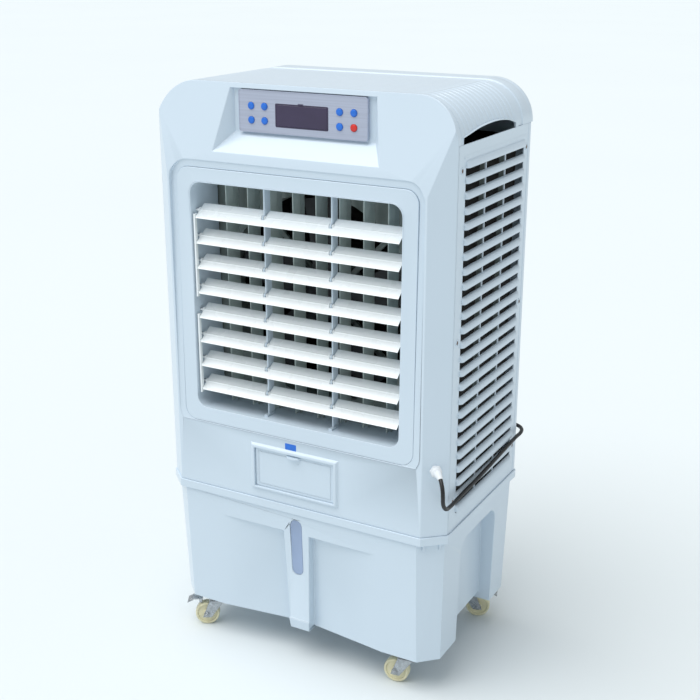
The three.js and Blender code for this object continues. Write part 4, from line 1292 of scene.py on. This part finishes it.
def build_stage():
    scene = bpy.context.scene
    camera = bpy.data.objects.new("camera", bpy.data.cameras.new("camera"))
    camera.location = (1.0638, -1.8975, 1.340)
    camera.rotation_euler = (radians(71.1), 0, radians(29))
    camera.data.lens = 60.5
    camera.data.sensor_width = 36
    camera.data.clip_end = 200
    scene.collection.objects.link(camera)
    scene.camera = camera
    scene.view_settings.view_transform = "Standard"

    floor = Shape()
    around = [2 * pi * i / 48 for i in range(48)]
    floor.loft([
        [(r * cos(a), 193.5 + r * sin(a), FLOOR_Z - 0.05) for a in around] for r in (500, 4000, 20000, 60000)
    ], caps=(True, False))
    mesh = bpy.data.meshes.new("studio_floor")
    floor.bm.to_mesh(mesh)
    floor.bm.free()
    mesh.materials.append(finish_for("floor"))
    ground = bpy.data.objects.new("studio_floor", mesh)
    scene.collection.objects.link(ground)

    world = bpy.data.worlds.new("studio_air")
    world.use_nodes = True
    world.node_tree.nodes["Background"].inputs["Color"].default_value = (0.93, 0.98, 1.0, 1)
    world.node_tree.nodes["Background"].inputs["Strength"].default_value = 0.6
    scene.world = world
    lamp = bpy.data.lights.new("key_light", "SUN")
    lamp.energy = 2.35
    lamp.angle = radians(55)
    holder = bpy.data.objects.new("key_light", lamp)
    holder.rotation_mode = "QUATERNION"
    holder.rotation_quaternion = Vector((0.25, 0.3, -0.92)).to_track_quat("-Z", "Y")
    scene.collection.objects.link(holder)


# ---------------------------------------------------------------- operators


class COOLER_OT_stage(bpy.types.Operator):
    """Sets up the camera, the soft light and the pale floor"""

    bl_idname = "cooler.stage"
    bl_label = "Studio"

    def execute(self, context):
        build_stage()
        return {"FINISHED"}


class COOLER_OT_cord(bpy.types.Operator):
    """Lays the cord with its coil, tie, strain relief and plug"""

    bl_idname = "cooler.cord"
    bl_label = "Power cord"

    def execute(self, context):
        build_cord()
        return {"FINISHED"}


class COOLER_OT_gland(bpy.types.Operator):
    """Builds the hex gland on the corner face"""

    bl_idname = "cooler.gland"
    bl_label = "Cord gland"

    def execute(self, context):
        build_gland()
        return {"FINISHED"}


class COOLER_OT_front_panel(bpy.types.Operator):
    """Builds the front moulding and its sticker"""

    bl_idname = "cooler.front_panel"
    bl_label = "Front panel"

    def execute(self, context):
        build_front_panel()
        return {"FINISHED"}


class COOLER_OT_bezel(bpy.types.Operator):
    """Builds the outlet bezel with its sleeve and supports"""

    bl_idname = "cooler.bezel"
    bl_label = "Outlet frame"

    def execute(self, context):
        build_bezel()
        return {"FINISHED"}


class COOLER_OT_louvres(bpy.types.Operator):
    """Builds the eight louvre blades and their link bars"""

    bl_idname = "cooler.louvres"
    bl_label = "Louvres"

    def execute(self, context):
        build_louvres()
        return {"FINISHED"}


class COOLER_OT_vanes(bpy.types.Operator):
    """Builds the eight upright vanes and their link bar"""

    bl_idname = "cooler.vanes"
    bl_label = "Vanes"

    def execute(self, context):
        build_vanes()
        return {"FINISHED"}


class COOLER_OT_controls(bpy.types.Operator):
    """Builds the control plate and display lens"""

    bl_idname = "cooler.controls"
    bl_label = "Control plate"

    def execute(self, context):
        build_controls()
        return {"FINISHED"}


class COOLER_OT_buttons(bpy.types.Operator):
    """Builds the eight push buttons"""

    bl_idname = "cooler.buttons"
    bl_label = "Push buttons"

    def execute(self, context):
        build_buttons()
        return {"FINISHED"}


class COOLER_OT_fill_door(bpy.types.Operator):
    """Builds the hinged water fill door"""

    bl_idname = "cooler.fill_door"
    bl_label = "Fill door"

    def execute(self, context):
        build_fill_door()
        return {"FINISHED"}


class COOLER_OT_top_cover(bpy.types.Operator):
    """Builds the grooved cover with its hand grips"""

    bl_idname = "cooler.top_cover"
    bl_label = "Top cover"

    def execute(self, context):
        build_top_cover()
        return {"FINISHED"}


class COOLER_OT_side_grilles(bpy.types.Operator):
    """Builds the left and right intake grilles"""

    bl_idname = "cooler.side_grilles"
    bl_label = "Side grilles"

    def execute(self, context):
        build_side_grilles()
        return {"FINISHED"}


class COOLER_OT_rear_grille(bpy.types.Operator):
    """Builds the rear intake grille and cord hook"""

    bl_idname = "cooler.rear_grille"
    bl_label = "Rear grille"

    def execute(self, context):
        build_rear_grille()
        return {"FINISHED"}


class COOLER_OT_pads(bpy.types.Operator):
    """Builds the three fluted cooling pads"""

    bl_idname = "cooler.pads"
    bl_label = "Cooling pads"

    def execute(self, context):
        build_pads()
        return {"FINISHED"}


class COOLER_OT_tank(bpy.types.Operator):
    """Builds the water tank"""

    bl_idname = "cooler.tank"
    bl_label = "Water tank"

    def execute(self, context):
        build_tank()
        return {"FINISHED"}


class COOLER_OT_tray(bpy.types.Operator):
    """Builds the tray rim between housing and tank"""

    bl_idname = "cooler.tray"
    bl_label = "Base tray"

    def execute(self, context):
        build_tray()
        return {"FINISHED"}


class COOLER_OT_sight(bpy.types.Operator):
    """Builds the water-level window"""

    bl_idname = "cooler.sight"
    bl_label = "Sight window"

    def execute(self, context):
        build_sight()
        return {"FINISHED"}


class COOLER_OT_air_path(bpy.types.Operator):
    """Builds the fan wall, motor, fan and pump"""

    bl_idname = "cooler.air_path"
    bl_label = "Air path"

    def execute(self, context):
        build_air_path()
        return {"FINISHED"}


class COOLER_OT_casters(bpy.types.Operator):
    """Builds the four swivel casters and two brake pedals"""

    bl_idname = "cooler.casters"
    bl_label = "Casters"

    def execute(self, context):
        build_casters()
        return {"FINISHED"}


OPERATORS = [
    COOLER_OT_stage,
    COOLER_OT_cord,
    COOLER_OT_gland,
    COOLER_OT_front_panel,
    COOLER_OT_bezel,
    COOLER_OT_louvres,
    COOLER_OT_vanes,
    COOLER_OT_controls,
    COOLER_OT_buttons,
    COOLER_OT_fill_door,
    COOLER_OT_top_cover,
    COOLER_OT_side_grilles,
    COOLER_OT_rear_grille,
    COOLER_OT_pads,
    COOLER_OT_tank,
    COOLER_OT_tray,
    COOLER_OT_sight,
    COOLER_OT_air_path,
    COOLER_OT_casters,
]


class COOLER_PT_pieces(bpy.types.Panel):
    """Lists the cooler's pieces, sizes and colours"""

    bl_idname = "COOLER_PT_pieces"
    bl_label = "Evaporative Cooler"
    bl_space_type = "VIEW_3D"
    bl_region_type = "UI"
    bl_category = "Cooler"

    def draw(self, context):
        for made in OPERATORS:
            self.layout.operator(made.bl_idname, text=made.bl_label)
        for group in (context.scene.cooler_sizes, context.scene.cooler_colours):
            column = self.layout.column(align=True)
            for key in group.__annotations__:
                column.prop(group, key)


CLASSES = [CoolerSizes, CoolerColours, *OPERATORS, COOLER_PT_pieces]


def register():
    for made in CLASSES:
        bpy.utils.register_class(made)
    bpy.types.Scene.cooler_sizes = bpy.props.PointerProperty(type=CoolerSizes)
    bpy.types.Scene.cooler_colours = bpy.props.PointerProperty(type=CoolerColours)


def unregister():
    del bpy.types.Scene.cooler_colours
    del bpy.types.Scene.cooler_sizes
    for made in reversed(CLASSES):
        bpy.utils.unregister_class(made)


def main():
    register()
    for made in OPERATORS:
        _, key = made.bl_idname.split(".")
        getattr(bpy.ops.cooler, key)()
    for node in frame["nodes"].values():
        if not node.hide_render:
            raise RuntimeError(f"{node.name} has no finished piece")


if __name__ == "__main__":
    main()
